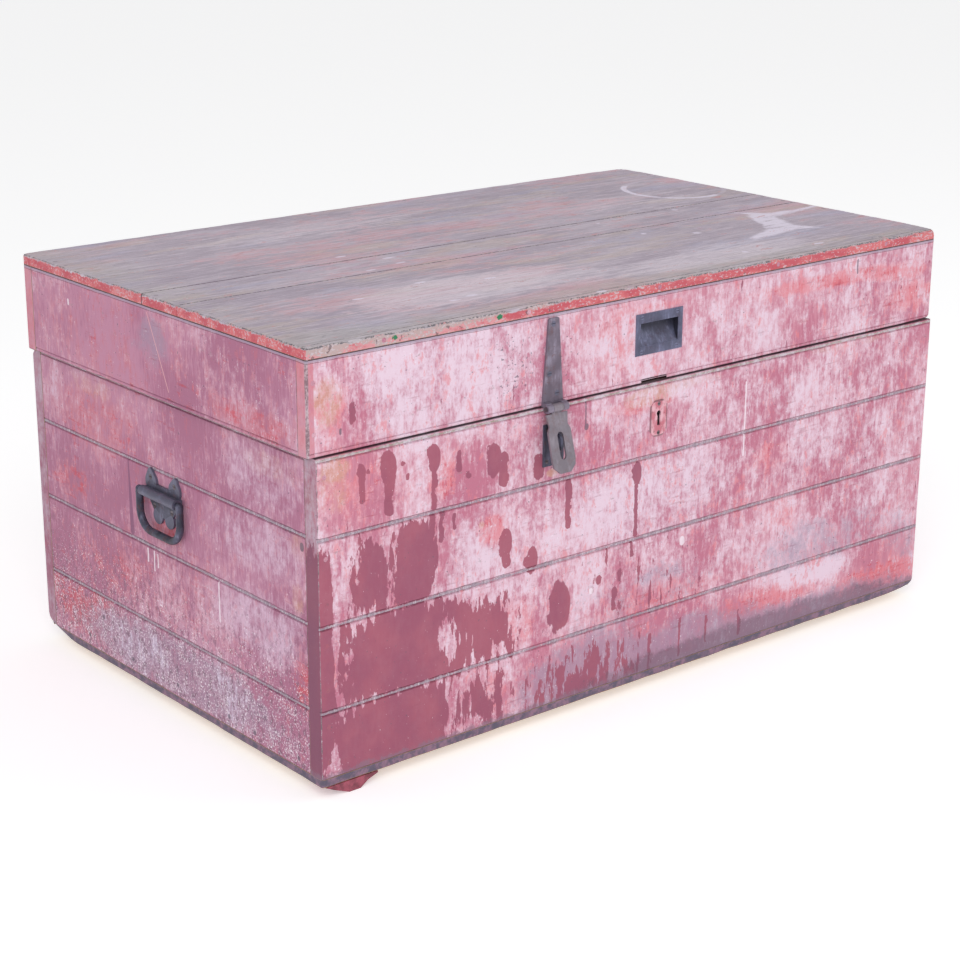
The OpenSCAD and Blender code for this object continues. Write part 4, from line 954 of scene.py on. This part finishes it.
def dress(name, mesh, material, body, stands_for, marks=None):
    """Gives a mesh its marks and its material, puts it under its body and hides the CAD nodes that it stands
    for.
    """
    for mark, values in (marks or {}).items():
        attribute = mesh.attributes.new(mark, "FLOAT", "POINT")
        attribute.data.foreach_set("value", np.clip(values, 0, 1).astype(np.float32))
    mesh.polygons.foreach_set("use_smooth", np.ones(len(mesh.polygons), bool))
    mesh.set_sharp_from_angle(angle=SHARP_FROM)
    mesh.materials.append(material)
    mesh.update()
    obj = put(name, mesh)
    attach(obj, body)
    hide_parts(*stands_for)
    return obj


# Rounding and wear of the chest's outside
def plan_distance(points, low, high, radii):
    """Distance outside a rectangle with round corners, seen from above, and the way outwards."""
    x, y = points[:, 0], points[:, 1]
    gaps = np.stack([low.x - x, x - high.x, low.y - y, y - high.y], 1)
    side = gaps.argmax(1)
    distance = gaps.max(1)
    ways = np.array([(-1.0, 0.0), (1.0, 0.0), (0.0, -1.0), (0.0, 1.0)])[side]
    corners = ((low.x, low.y, -1, -1), (high.x, low.y, 1, -1), (high.x, high.y, 1, 1), (low.x, high.y, -1, 1))
    for (cx, cy, sx, sy), radius in zip(corners, radii):
        dx = (x - (cx - sx * radius)) * sx
        dy = (y - (cy - sy * radius)) * sy
        beyond = (dx > 0) & (dy > 0)
        reach = np.maximum(np.hypot(dx, dy), 1e-9)
        distance = np.where(beyond, reach - radius, distance)
        ways[beyond] = np.stack([sx * dx / reach, sy * dy / reach], 1)[beyond]
    return distance, ways


def round_rim(points, low, high, radii, level, way_z, radius):
    """Rounds the edge all round the box at a level. way_z is 1 for its top edge and -1 for its foot."""
    distance, ways = plan_distance(points, low, high, radii)
    out = distance + radius
    up = (points[:, 2] - (level - way_z * radius)) * way_z
    reach = np.maximum(np.hypot(out, up), 1e-9)
    beyond = (out > 0) & (up > 0) & (reach > radius)
    keep = np.where(beyond, radius / reach, 1.0)
    points[:, :2] += ways * (out * (keep - 1))[:, None]
    points[:, 2] += way_z * up * (keep - 1)


def trim_plan(points, low, high, radii):
    """Moves the points that are outside the rectangle with round corners onto it."""
    distance, ways = plan_distance(points, low, high, radii)
    points[:, :2] -= ways * np.maximum(distance, 0)[:, None]


def near(points, place, reach):
    """1 at a place and 0 at reach from it, measured seen from above."""
    distance = np.hypot(points[:, 0] - place[0], points[:, 1] - place[1])
    return np.clip(1 - distance / reach, 0, 1)


def wear_body(points):
    """Rounds the body's corners and its foot, and gives back how far the foot's rounding moved each point."""
    x, y, _ = points.T
    trim_plan(points, BODY_LOW, BODY_HIGH, BODY_CORNERS)
    trimmed = points.copy()
    foot = 2.6 * MM + 1.2 * MM * ripple(11, 9, x, y)
    foot += 22 * MM * near(points, (BODY_LOW.x, BODY_HIGH.y), 75 * MM) ** 1.5
    foot += 11 * MM * near(points, (BODY_HIGH.x, BODY_LOW.y), 60 * MM) ** 1.5
    round_rim(points, BODY_LOW, BODY_HIGH, BODY_CORNERS, BODY_LOW.z, -1, np.maximum(foot, 0.8 * MM))
    return np.linalg.norm(points - trimmed, axis=1)


def wear_lid(points):
    """The same for the lid, with its upper rim."""
    x, y, _ = points.T
    front_right = near(points, (LID_HIGH.x, LID_LOW.y), 60 * MM)
    trim_plan(points, LID_LOW, LID_HIGH, LID_CORNERS)
    trimmed = points.copy()
    rim = 2.8 * MM + 1.0 * MM * ripple(21, 11, x, y) + 0.7 * MM * ripple(22, 45, x, y)
    rim += 6.5 * MM * front_right**1.2 + 3.5 * MM * near(points, (LID_HIGH.x, LID_HIGH.y), 60 * MM)
    round_rim(points, LID_LOW, LID_HIGH, LID_CORNERS, LID_HIGH.z, 1, np.maximum(rim, 0.8 * MM))
    foot = 1.0 * MM + 0.4 * MM * ripple(23, 14, x, y)
    foot += 2.2 * MM * np.clip((x - 0.11) / 0.08, 0, 1) * (y < LID_LOW.y + 30 * MM)
    foot += 3.0 * MM * front_right
    round_rim(points, LID_LOW, LID_HIGH, LID_CORNERS, LID_LOW.z, -1, np.maximum(foot, 0.3 * MM))
    return np.linalg.norm(points - trimmed, axis=1)


def bead_depth(height, full, worn):
    """Depth of a board's face behind its front, with a quirk and a bead at the top edge."""
    centre = full - BEAD_R
    depth = np.zeros_like(height)
    in_quirk = (height > full - 2 * BEAD_R - QUIRK_W) & (height < full - 2 * BEAD_R)
    depth[in_quirk] = QUIRK_D
    on_bead = height >= full - 2 * BEAD_R
    arc = BEAD_R - np.sqrt(np.maximum(BEAD_R**2 - (height - centre) ** 2, 0))
    depth[on_bead] = np.maximum(arc, worn)[on_bead]
    return depth


def eased(distance, radius):
    """Depth of a rounded arris at a distance from the edge."""
    inside = np.clip(radius - distance, 0, radius)
    return radius - np.sqrt(np.maximum(radius**2 - inside**2, 0))


def board_heights(height, step, bead):
    """Where a board's section has points, from its foot to its top."""
    if not bead:
        return graded(height, step)
    foot = height - 2 * BEAD_R - QUIRK_W
    hair = 0.05 * MM
    quirk = [foot + hair, foot + QUIRK_W - hair]
    arc = [height - BEAD_R - BEAD_R * math.cos(math.pi * k / 8) for k in range(9)]
    return np.concatenate([graded(foot, step), quirk, arc])


def fading(distance, reach):
    """1 at a line, and less with the distance from it."""
    return np.exp(-distance / reach)


def bell(distance, reach):
    """The same on both sides of the line, with soft shoulders."""
    return np.exp(-((distance / reach) ** 2))


def board_depth(u, v, along, length, width, seed, bead, seam, ends):
    """How far behind its flat front a board's face lies: bead, rounded edges and unevenness."""
    notch = np.maximum(0, ripple(seed, 14, along)) ** 2 * 1.3 * MM
    notch = notch + np.maximum(0, ripple(seed + 1, 50, along)) * 0.4 * MM
    depth = bead_depth(v, width, notch) if bead else np.zeros_like(u)
    uneven = 1 + 0.6 * ripple(seed + 2, 22, along) + 0.4 * ripple(seed + 3, 90, along)
    arris = np.maximum(seam * uneven, 0.15 * MM)
    depth = depth + eased(v, arris)
    if not bead:
        depth = depth + eased(width - v, arris)
    depth = depth + eased(u, ends) + eased(length - u, ends)
    return depth + 0.06 * MM * (1 + ripple(seed + 4, 8, along, v).clip(-1, 1))


def board_marks(u, v, w, size, moved, face, bead, bead_wear, end_dirt, edge_dirt):
    """How worn, dirty and bare a board is at each point.

    u, v and w are the places along, across and behind its face. moved is how far each point was moved by the
    rounding of the rims, and by that and the trimming of the corners together.
    """
    length, width, thick = size
    rounded, cornered = moved
    shallow = np.clip(1 - w / (4 * MM), 0, 1)
    at_foot = fading(v, 1.2 * MM) * shallow
    worn = at_foot * (0.25 if bead == "top" else 0.55)
    dirt = np.zeros_like(u)
    if bead:
        quirk = width - 2 * BEAD_R - QUIRK_W / 2
        dirt = bell(v - quirk, 1.0 * MM) * shallow * 0.42
        dirt = np.maximum(dirt, fading(width - v, 0.8 * MM) * shallow * (w > 0.2 * MM))
        if bead == "top":
            dirt = np.maximum(dirt, at_foot * 0.8)
        crest = bell(v - (width - BEAD_R), 2.2 * MM) * shallow
        worn = np.maximum(worn, crest * bead_wear)
    else:
        worn = np.maximum(worn, fading(width - v, 1.2 * MM) * 0.55 * shallow)
    worn = np.maximum(worn, np.clip(rounded / (1.6 * MM), 0, 1))
    worn = np.maximum(worn, np.clip(cornered / (1.6 * MM), 0, 0.4))
    to_end = np.minimum(u, length - u)
    to_edge = np.minimum(v, width - v)
    dirt = np.maximum(dirt, fading(to_end, 1.2 * MM) * shallow * end_dirt)
    dirt = np.maximum(dirt, fading(to_edge, 1.2 * MM) * shallow * edge_dirt)
    share = w / thick
    bare = share > 0.999
    if face == "-z":
        bare = bare | (share < 0.001)
    return {"wear": worn, "grime": dirt, "bare": bare.astype(float)}


def board(name, body, material, face, seed, bead=None, wear=wear_body, step=SEEN_STEP, low=None,
          high=None, seam=1.0 * MM, ends=0.6 * MM, end_dirt=0.0, edge_dirt=0.0, bead_wear=0.9):
    """One board in place of the CAD node of its name.

    face is the way that it faces: -y, +y, -x, +x, +z or -z. bead is top, foot or None.
    """
    node_low, node_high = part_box(name)
    low = Vector(low or node_low)
    high = Vector(high or node_high)
    depth_axis = "xyz".index(face[1])
    outwards = 1 if face[0] == "+" else -1
    across_axis = 2 if depth_axis < 2 else 1
    long_axis = 3 - depth_axis - across_axis
    size = [(high - low)[axis] for axis in (long_axis, across_axis, depth_axis)]
    length, width, thick = size
    (u, v, w), quads = shell(graded(length, step), board_heights(width, step, bead), graded(thick, 6 * MM))
    along = low[long_axis] + u
    depth = board_depth(u, v, along, length, width, seed, bead, seam, ends)
    points = np.zeros((len(u), 3))
    points[:, long_axis] = along
    points[:, across_axis] = low[across_axis] + (width - v if bead == "foot" else v)
    behind = depth + (thick - depth) * (w / thick)
    face_at = high[depth_axis] if outwards > 0 else low[depth_axis]
    points[:, depth_axis] = face_at - outwards * behind
    flat = points.copy()
    rounded = wear(points)
    cornered = np.linalg.norm(points - flat, axis=1)
    marks = board_marks(u, v, w, size, (rounded, cornered), face, bead, bead_wear, end_dirt, edge_dirt)
    if signed_volume(points, quads) < 0:
        quads = quads[:, ::-1]
    return piece(name + "_worn", points, quads, material, body, (name,), marks)


def combine(obj, operation, *others):
    """Joins other shapes to a piece or takes them out of it, for good. operation is UNION or DIFFERENCE."""
    for other in others:
        modifier = obj.modifiers.new("combine", "BOOLEAN")
        modifier.operation = operation
        modifier.solver = "EXACT"
        modifier.object = other
    evaluated = obj.evaluated_get(bpy.context.evaluated_depsgraph_get())
    mesh = bpy.data.meshes.new_from_object(evaluated)
    obj.modifiers.clear()
    obj.data = mesh
    for other in others:
        bpy.data.objects.remove(other)


def cutter_box(low, high):
    """A box from corner to corner."""
    mesh = bpy.data.meshes.new("cutter")
    corners = list(itertools.product(*zip(low, high)))
    faces = [(0, 1, 3, 2), (4, 6, 7, 5), (0, 4, 5, 1), (2, 3, 7, 6), (0, 2, 6, 4), (1, 5, 7, 3)]
    mesh.from_pydata(corners, [], faces)
    return put("cutter", mesh)


def make_walls():
    """The body's wall boards, each as high as up to the next one."""
    for wall, face, slot, material in WALLS:
        heights = levels(wall)
        step = SEEN_STEP if wall in ("front", "left") else HIDDEN_STEP
        for i in range(1, ROWS + 1):
            name = f"{wall}_board_{i}"
            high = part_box(name)[1]
            high.z = heights[i - 1]
            board(name, "carcase", material, face, seed=i * 10 + ord(wall[0]), bead="top", high=high,
                  step=step, end_dirt=1.0 if slot == "painted_side" else 0.0)


def make_bottom():
    """The bottom boards and the bearers below them."""
    for i in range(1, FLATS + 1):
        board(f"bottom_board_{i}", "carcase", slate_paint, "-z", seed=200 + i, step=HIDDEN_STEP)
    for i in range(1, FLATS + 1):
        make_bearer(f"bearer_{i}")


def make_bearer(name):
    """A bearer, which runs from front to back."""
    low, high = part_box(name)
    (u, v, w), quads = shell(
        graded(high.x - low.x, 12 * MM), graded(high.y - low.y, 24 * MM), graded(high.z - low.z, 5 * MM))
    points = np.stack([low.x + u, low.y + v, low.z + w], 1)
    for a, b in ((0, 2), (1, 2), (0, 1)):
        ease_box(points, low, high, a, b, 1.5 * MM)
    marks = {"wear": np.zeros_like(u), "grime": np.clip(w / (30 * MM), 0, 1) * 0.3, "bare": np.ones_like(u)}
    piece(name + "_worn", points, quads, pine, "carcase", (name,), marks)


def ease_box(points, low, high, a, b, radius):
    """Rounds the four edges of a box that run along its third axis."""
    for side_a, side_b in itertools.product((-1, 1), (-1, 1)):
        edge_a = high[a] if side_a > 0 else low[a]
        edge_b = high[b] if side_b > 0 else low[b]
        da = (points[:, a] - (edge_a - side_a * radius)) * side_a
        db = (points[:, b] - (edge_b - side_b * radius)) * side_b
        reach = np.maximum(np.hypot(da, db), 1e-9)
        beyond = (da > 0) & (db > 0) & (reach > radius)
        keep = np.where(beyond, radius / reach, 1.0)
        points[:, a] += side_a * da * (keep - 1)
        points[:, b] += side_b * db * (keep - 1)


def make_lid():
    """The lid's boards and its nosing, with the room for the pull and the notch below the hasp."""
    for wall, face, slot, material in WALLS:
        board(f"lid_{wall}_board", "lid", material, face, seed=300 + ord(wall[0]), bead="foot",
              wear=wear_lid, bead_wear=0.35, end_dirt=0.9 if slot == "painted_side" else 0.0)
    pull_low, pull_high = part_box("flush_pull")
    face_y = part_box("lid_front_board")[0].y
    pocket = cutter_box(
        (pull_low.x + PULL_SEAT, face_y - 2 * MM, pull_low.z + PULL_SEAT),
        (pull_high.x - PULL_SEAT, pull_high.y + 0.1 * MM, pull_high.z - PULL_SEAT))
    notch = cutter_box((-29 * MM, face_y - 2 * MM, LID_LOW.z - 2 * MM),
                       (13 * MM, face_y + 12 * MM, LID_LOW.z + 3.6 * MM))
    combine(bpy.data.objects["lid_front_board_worn"], "DIFFERENCE", pocket, notch)
    for i in range(1, FLATS + 1):
        board(f"lid_top_board_{i}", "lid", top_paint, "+z", seed=400 + i, wear=wear_lid,
              seam=0.9 * MM, step=TOP_STEP, edge_dirt=1.0)
    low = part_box("lid_nosing")[0]
    low.y += 0.15 * MM
    board("lid_nosing", "lid", top_paint, "+z", seed=450, wear=wear_lid,
          seam=0.4 * MM, step=TOP_STEP, low=low)


def make_pull():
    """The flush pull: a plate with a pocket whose back slopes out to the lower lip."""
    low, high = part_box("flush_pull")
    face = low.y
    plate_back = face + PULL_T
    middle_x = (low.x + high.x) / 2
    half_w = PULL_POCKET_W / 2
    mouth_top = high.z - PULL_TOP_RAIL
    mouth_foot = low.z + PULL_FOOT_RAIL
    wall = 1.5 * MM
    plate = cutter_box((low.x, face, low.z), (high.x, plate_back, high.z))
    shell_low = (middle_x - half_w - wall, plate_back - 0.3 * MM, mouth_foot - wall)
    housing = cutter_box(shell_low, (middle_x + half_w + wall, high.y, mouth_top + wall))
    hollow = wedge_cutter(middle_x - half_w, middle_x + half_w, face - MM, (mouth_foot, mouth_top),
                          (face + 0.7 * MM, high.y - wall - 2.0 * MM))
    screw_low, screw_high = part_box("pull_screws")
    head = PULL_SCREW_R
    screws = [disc_cutter(x, face, z, head + 0.05 * MM) for x, z in itertools.product(
        (screw_low.x + head, screw_high.x - head), (screw_low.z + head, screw_high.z - head))]
    combine(plate, "UNION", housing)
    combine(plate, "DIFFERENCE", hollow, *screws)
    mesh = plate.data
    bpy.data.objects.remove(plate)
    made = dress("flush_pull_worn", mesh, pull_iron, "lid", ("flush_pull",))
    soften(made, SOFT_EDGE)


def circle(x, z, radius):
    """The corners of a many-sided ring."""
    turns = [math.tau * k / ROUND_SIDES for k in range(ROUND_SIDES)]
    return [(x + radius * math.cos(turn), z + radius * math.sin(turn)) for turn in turns]


def prism(outline, way, start, end):
    """A closed shape from an outline in the two other axes, drawn along way: 0 is X, 1 is Y and 2 is Z."""
    def place(at, a, b):
        values = [a, b]
        values.insert(way, at)
        return tuple(values)

    count = len(outline)
    points = [place(at, a, b) for at in (start, end) for a, b in outline]
    faces = [tuple(range(count)), tuple(range(2 * count - 1, count - 1, -1))]
    faces += [(k, k + count, (k + 1) % count + count, (k + 1) % count) for k in range(count)]
    mesh = bpy.data.meshes.new("prism")
    mesh.from_pydata(points, [], faces)
    solid = bmesh.new()
    solid.from_mesh(mesh)
    bmesh.ops.recalc_face_normals(solid, faces=solid.faces)
    solid.to_mesh(mesh)
    solid.free()
    return put("prism", mesh)


def wedge_cutter(low_x, high_x, front, heights, depths):
    """The room of the pull's pocket: shallow at its foot and deep at its top, with a curved back."""
    foot, top = heights
    shallow, deep = depths
    steps = 10
    outline = [(front, foot), (front, top)]
    for k in range(steps + 1):
        share = k / steps
        outline.append((deep + (shallow - deep) * share**1.6, top + (foot - top) * share))
    return prism(outline, 0, low_x, high_x)


def disc_cutter(x, y, z, radius):
    """The room of a screw head in a front plate."""
    return prism(circle(x, z, radius), 1, y - MM, y + 1.4 * MM)


def soften(obj, width):
    """Rounds the sharp edges of a fitting a little."""
    bevel = obj.modifiers.new("soft_edges", "BEVEL")
    bevel.width = width
    bevel.segments = 2
    bevel.limit_method = "ANGLE"
    bevel.angle_limit = SOFT_FROM
    bevel.harden_normals = True


def make_keyhole():
    """Cuts the keyhole through the top front board."""
    board_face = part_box("front_board_1")[0].y
    top_z = keyhole_z + KEY_UP
    hole = prism(circle(keyhole_x, top_z, KEY_R), 1, board_face - MM, board_face + KEY_DEPTH)
    slot = cutter_box((keyhole_x - KEY_SLOT_W / 2, board_face - MM, top_z - KEY_L),
                      (keyhole_x + KEY_SLOT_W / 2, board_face + KEY_DEPTH, top_z))
    combine(bpy.data.objects["front_board_1_worn"], "DIFFERENCE", hole, slot)


def drive_corner_nails():
    """The lid's nails, with the two in its round back corner driven in until their heads meet the wood."""
    node = frame["nodes"]["lid_nails"]
    mesh = node.data.copy()
    mesh.transform(node.matrix_world)
    mesh.materials.clear()
    for point in mesh.vertices:
        at_corner = point.co.x > LID_HIGH.x - DRIVEN_FROM_RIGHT and point.co.y > LID_HIGH.y - DRIVEN_FROM_BACK
        if at_corner and point.co.z < LID_HIGH.z - DRIVEN_FROM_TOP:
            point.co.y -= DRIVEN
    dress("lid_nails_driven", mesh, nail_paint, "lid", ("lid_nails",))


def slope_back_rims():
    """Slopes both back rims behind the hinge pins by half the opening angle, so that the lid leans back."""
    pins_low, pins_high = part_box("hinge_pins")
    start = (pins_low.y + pins_high.y) / 2 - SLOPE_START
    end = BODY_HIGH.y + MM
    drop = (end - start) * math.tan(LID_OPEN / 2)
    for name, rim, up in (("back_board_1_worn", BODY_HIGH.z, 1), ("lid_back_board_worn", LID_LOW.z, -1)):
        outline = [(start, rim), (end, rim - up * drop), (end, rim + up * MM), (start, rim + up * MM)]
        wedge = prism(outline, 0, LID_LOW.x - MM, LID_HIGH.x + MM)
        combine(bpy.data.objects[name], "DIFFERENCE", wedge)


def make_stage():
    """A pale floor, an even grey-white surrounding and two soft lamps."""
    half = 30.0
    mesh = bpy.data.meshes.new("floor")
    corners = [(-half, -half, 0), (half, -half, 0), (half, half, 0), (-half, half, 0)]
    mesh.from_pydata(corners, [], [(0, 1, 2, 3)])
    g = Graph("floor")
    g.shader.inputs["Emission Color"].default_value = (1.0, 1.0, 1.0, 1.0)
    g.shader.inputs["Emission Strength"].default_value = 0.38
    g.colour = srgb(246, 246, 247)
    mesh.materials.append(g.finish(0.9, specular=0.1))
    put("floor", mesh)

    world = bpy.data.worlds.new("studio")
    world.use_nodes = True
    background = world.node_tree.nodes["Background"]
    background.inputs[0].default_value = (1.0, 1.0, 1.0, 1.0)
    background.inputs[1].default_value = 0.55
    bpy.context.scene.world = world
    bpy.context.scene.view_settings.view_transform = "Standard"
    add_light("key", (-2.6, -2.8, 3.0), 2.4, 62)
    add_light("fill", (3.0, -2.6, 2.2), 2.6, 22)


def add_light(name, place, size, power):
    """A round lamp that shines at the chest's middle."""
    data = bpy.data.lights.new(name, "AREA")
    data.shape = "DISK"
    data.size = size
    data.energy = power
    light = put(name, data)
    light.location = place
    aim = Vector((0, 0, 0.25)) - Vector(place)
    light.rotation_euler = aim.to_track_quat("-Z", "Y").to_euler()


def add_camera():
    """The photograph's camera."""
    ahead = Vector((
        -math.sin(CAMERA_YAW) * math.cos(CAMERA_PITCH),
        math.cos(CAMERA_YAW) * math.cos(CAMERA_PITCH),
        math.sin(CAMERA_PITCH)))
    side = Vector((math.cos(CAMERA_YAW), math.sin(CAMERA_YAW), 0))
    up = side.cross(ahead)
    right = side * math.cos(CAMERA_ROLL) + up * math.sin(CAMERA_ROLL)
    top = up * math.cos(CAMERA_ROLL) - side * math.sin(CAMERA_ROLL)
    data = bpy.data.cameras.new("camera")
    data.sensor_width = SENSOR_MM
    data.lens = SENSOR_MM * FOCAL_PX / IMAGE_PX
    data.clip_end = 100
    camera = put("camera", data)
    turn = Matrix((right, top, -ahead)).transposed().to_4x4()
    camera.matrix_world = Matrix.Translation(CAMERA_AT) @ turn
    bpy.context.scene.camera = camera


slab_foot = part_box("lid_top_board_1")[0].z
slab_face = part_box("lid_top_board_1")[1].z
lid_foot = LID_LOW.z
rim_z = BODY_HIGH.z
wall_seams = levels("front")[1:-1]
top_seams = [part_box(f"lid_top_board_{j}")[0].y for j in range(2, FLATS + 1)]
floor_seams = [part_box(f"bottom_board_{j}")[0].y for j in range(2, FLATS + 1)]
keyhole_low, keyhole_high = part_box("keyhole_plate")
keyhole_x = (keyhole_low.x + keyhole_high.x) / 2
keyhole_z = (keyhole_low.z + keyhole_high.z) / 2
front_paint = painted_wood("front_paint")
left_paint = painted_wood("left_paint", side=True)
back_paint = painted_wood("back_paint", plain=True)
right_paint = painted_wood("right_paint", side=True, plain=True)
top_paint = top_wood("top_paint")
pine = bare_wood("bare_pine")
dark_iron = iron("dark_iron", srgb(54, 54, 68), srgb(82, 82, 102), srgb(124, 122, 144))
strap_iron = iron("strap_iron", srgb(98, 86, 100), srgb(122, 110, 126), srgb(150, 142, 160), brown=0.5)
flap_iron = iron("flap_iron", srgb(88, 78, 88), srgb(120, 110, 120), srgb(156, 148, 158), brown=0.45)
steel = metal("worn_steel", srgb(74, 62, 68), srgb(120, 110, 118), 0.4, 0.4)
nail_paint = painted_nails("painted_nail")
foot_paint = metal("foot_paint", srgb(118, 56, 70), srgb(166, 82, 100), 0.6, 0.0)
brass = metal("old_brass", srgb(92, 72, 38), srgb(150, 122, 70), 0.35, 0.9)
plate_paint = painted_iron("painted_plate")
slate_paint = slate_wood("slate_edge")
pull_iron = iron("pull_iron", srgb(80, 80, 102), srgb(100, 102, 128), srgb(134, 136, 166), brown=0.12,
                 pocket="flush_pull")
WALLS = (
    ("front", "-y", "painted_front", front_paint),
    ("back", "+y", "painted_front", back_paint),
    ("left", "-x", "painted_side", left_paint),
    ("right", "+x", "painted_side", right_paint),
)
MATERIALS = {
    "painted_front": front_paint,
    "painted_side": left_paint,
    "painted_top": top_paint,
    "bare_pine": pine,
    "dark_iron": dark_iron,
    "worn_steel": steel,
    "painted_iron": plate_paint,
    "old_brass": brass,
}
BY_NODE = {
    "hasp_strap": strap_iron,
    "hasp_flap": flap_iron,
    "strap_screws": dark_iron,
    "pull_screws": pull_iron,
    "body_nails": nail_paint,
    "lid_nails": nail_paint,
    "corner_foot": foot_paint,
}
SOFTENED = (
    "hasp_strap", "hasp_flap", "staple_plate", "keyhole_plate", "left_handle_plate", "right_handle_plate",
    "hinge_body_leaf_1", "hinge_body_leaf_2", "hinge_lid_leaf_1", "hinge_lid_leaf_2", "lock_case",
    "link_plate",
)
for part in frame["record"]["subparts"]:
    name = part["node"]
    node = frame["nodes"][name]
    node.data.materials.clear()
    node.data.materials.append(BY_NODE.get(name, MATERIALS[part["material_slot"]]))

make_walls()
make_bottom()
make_lid()
make_keyhole()
slope_back_rims()
drive_corner_nails()
make_pull()
for fitting in SOFTENED:
    soften(frame["nodes"][fitting], SOFT_EDGE)
make_stage()
add_camera()
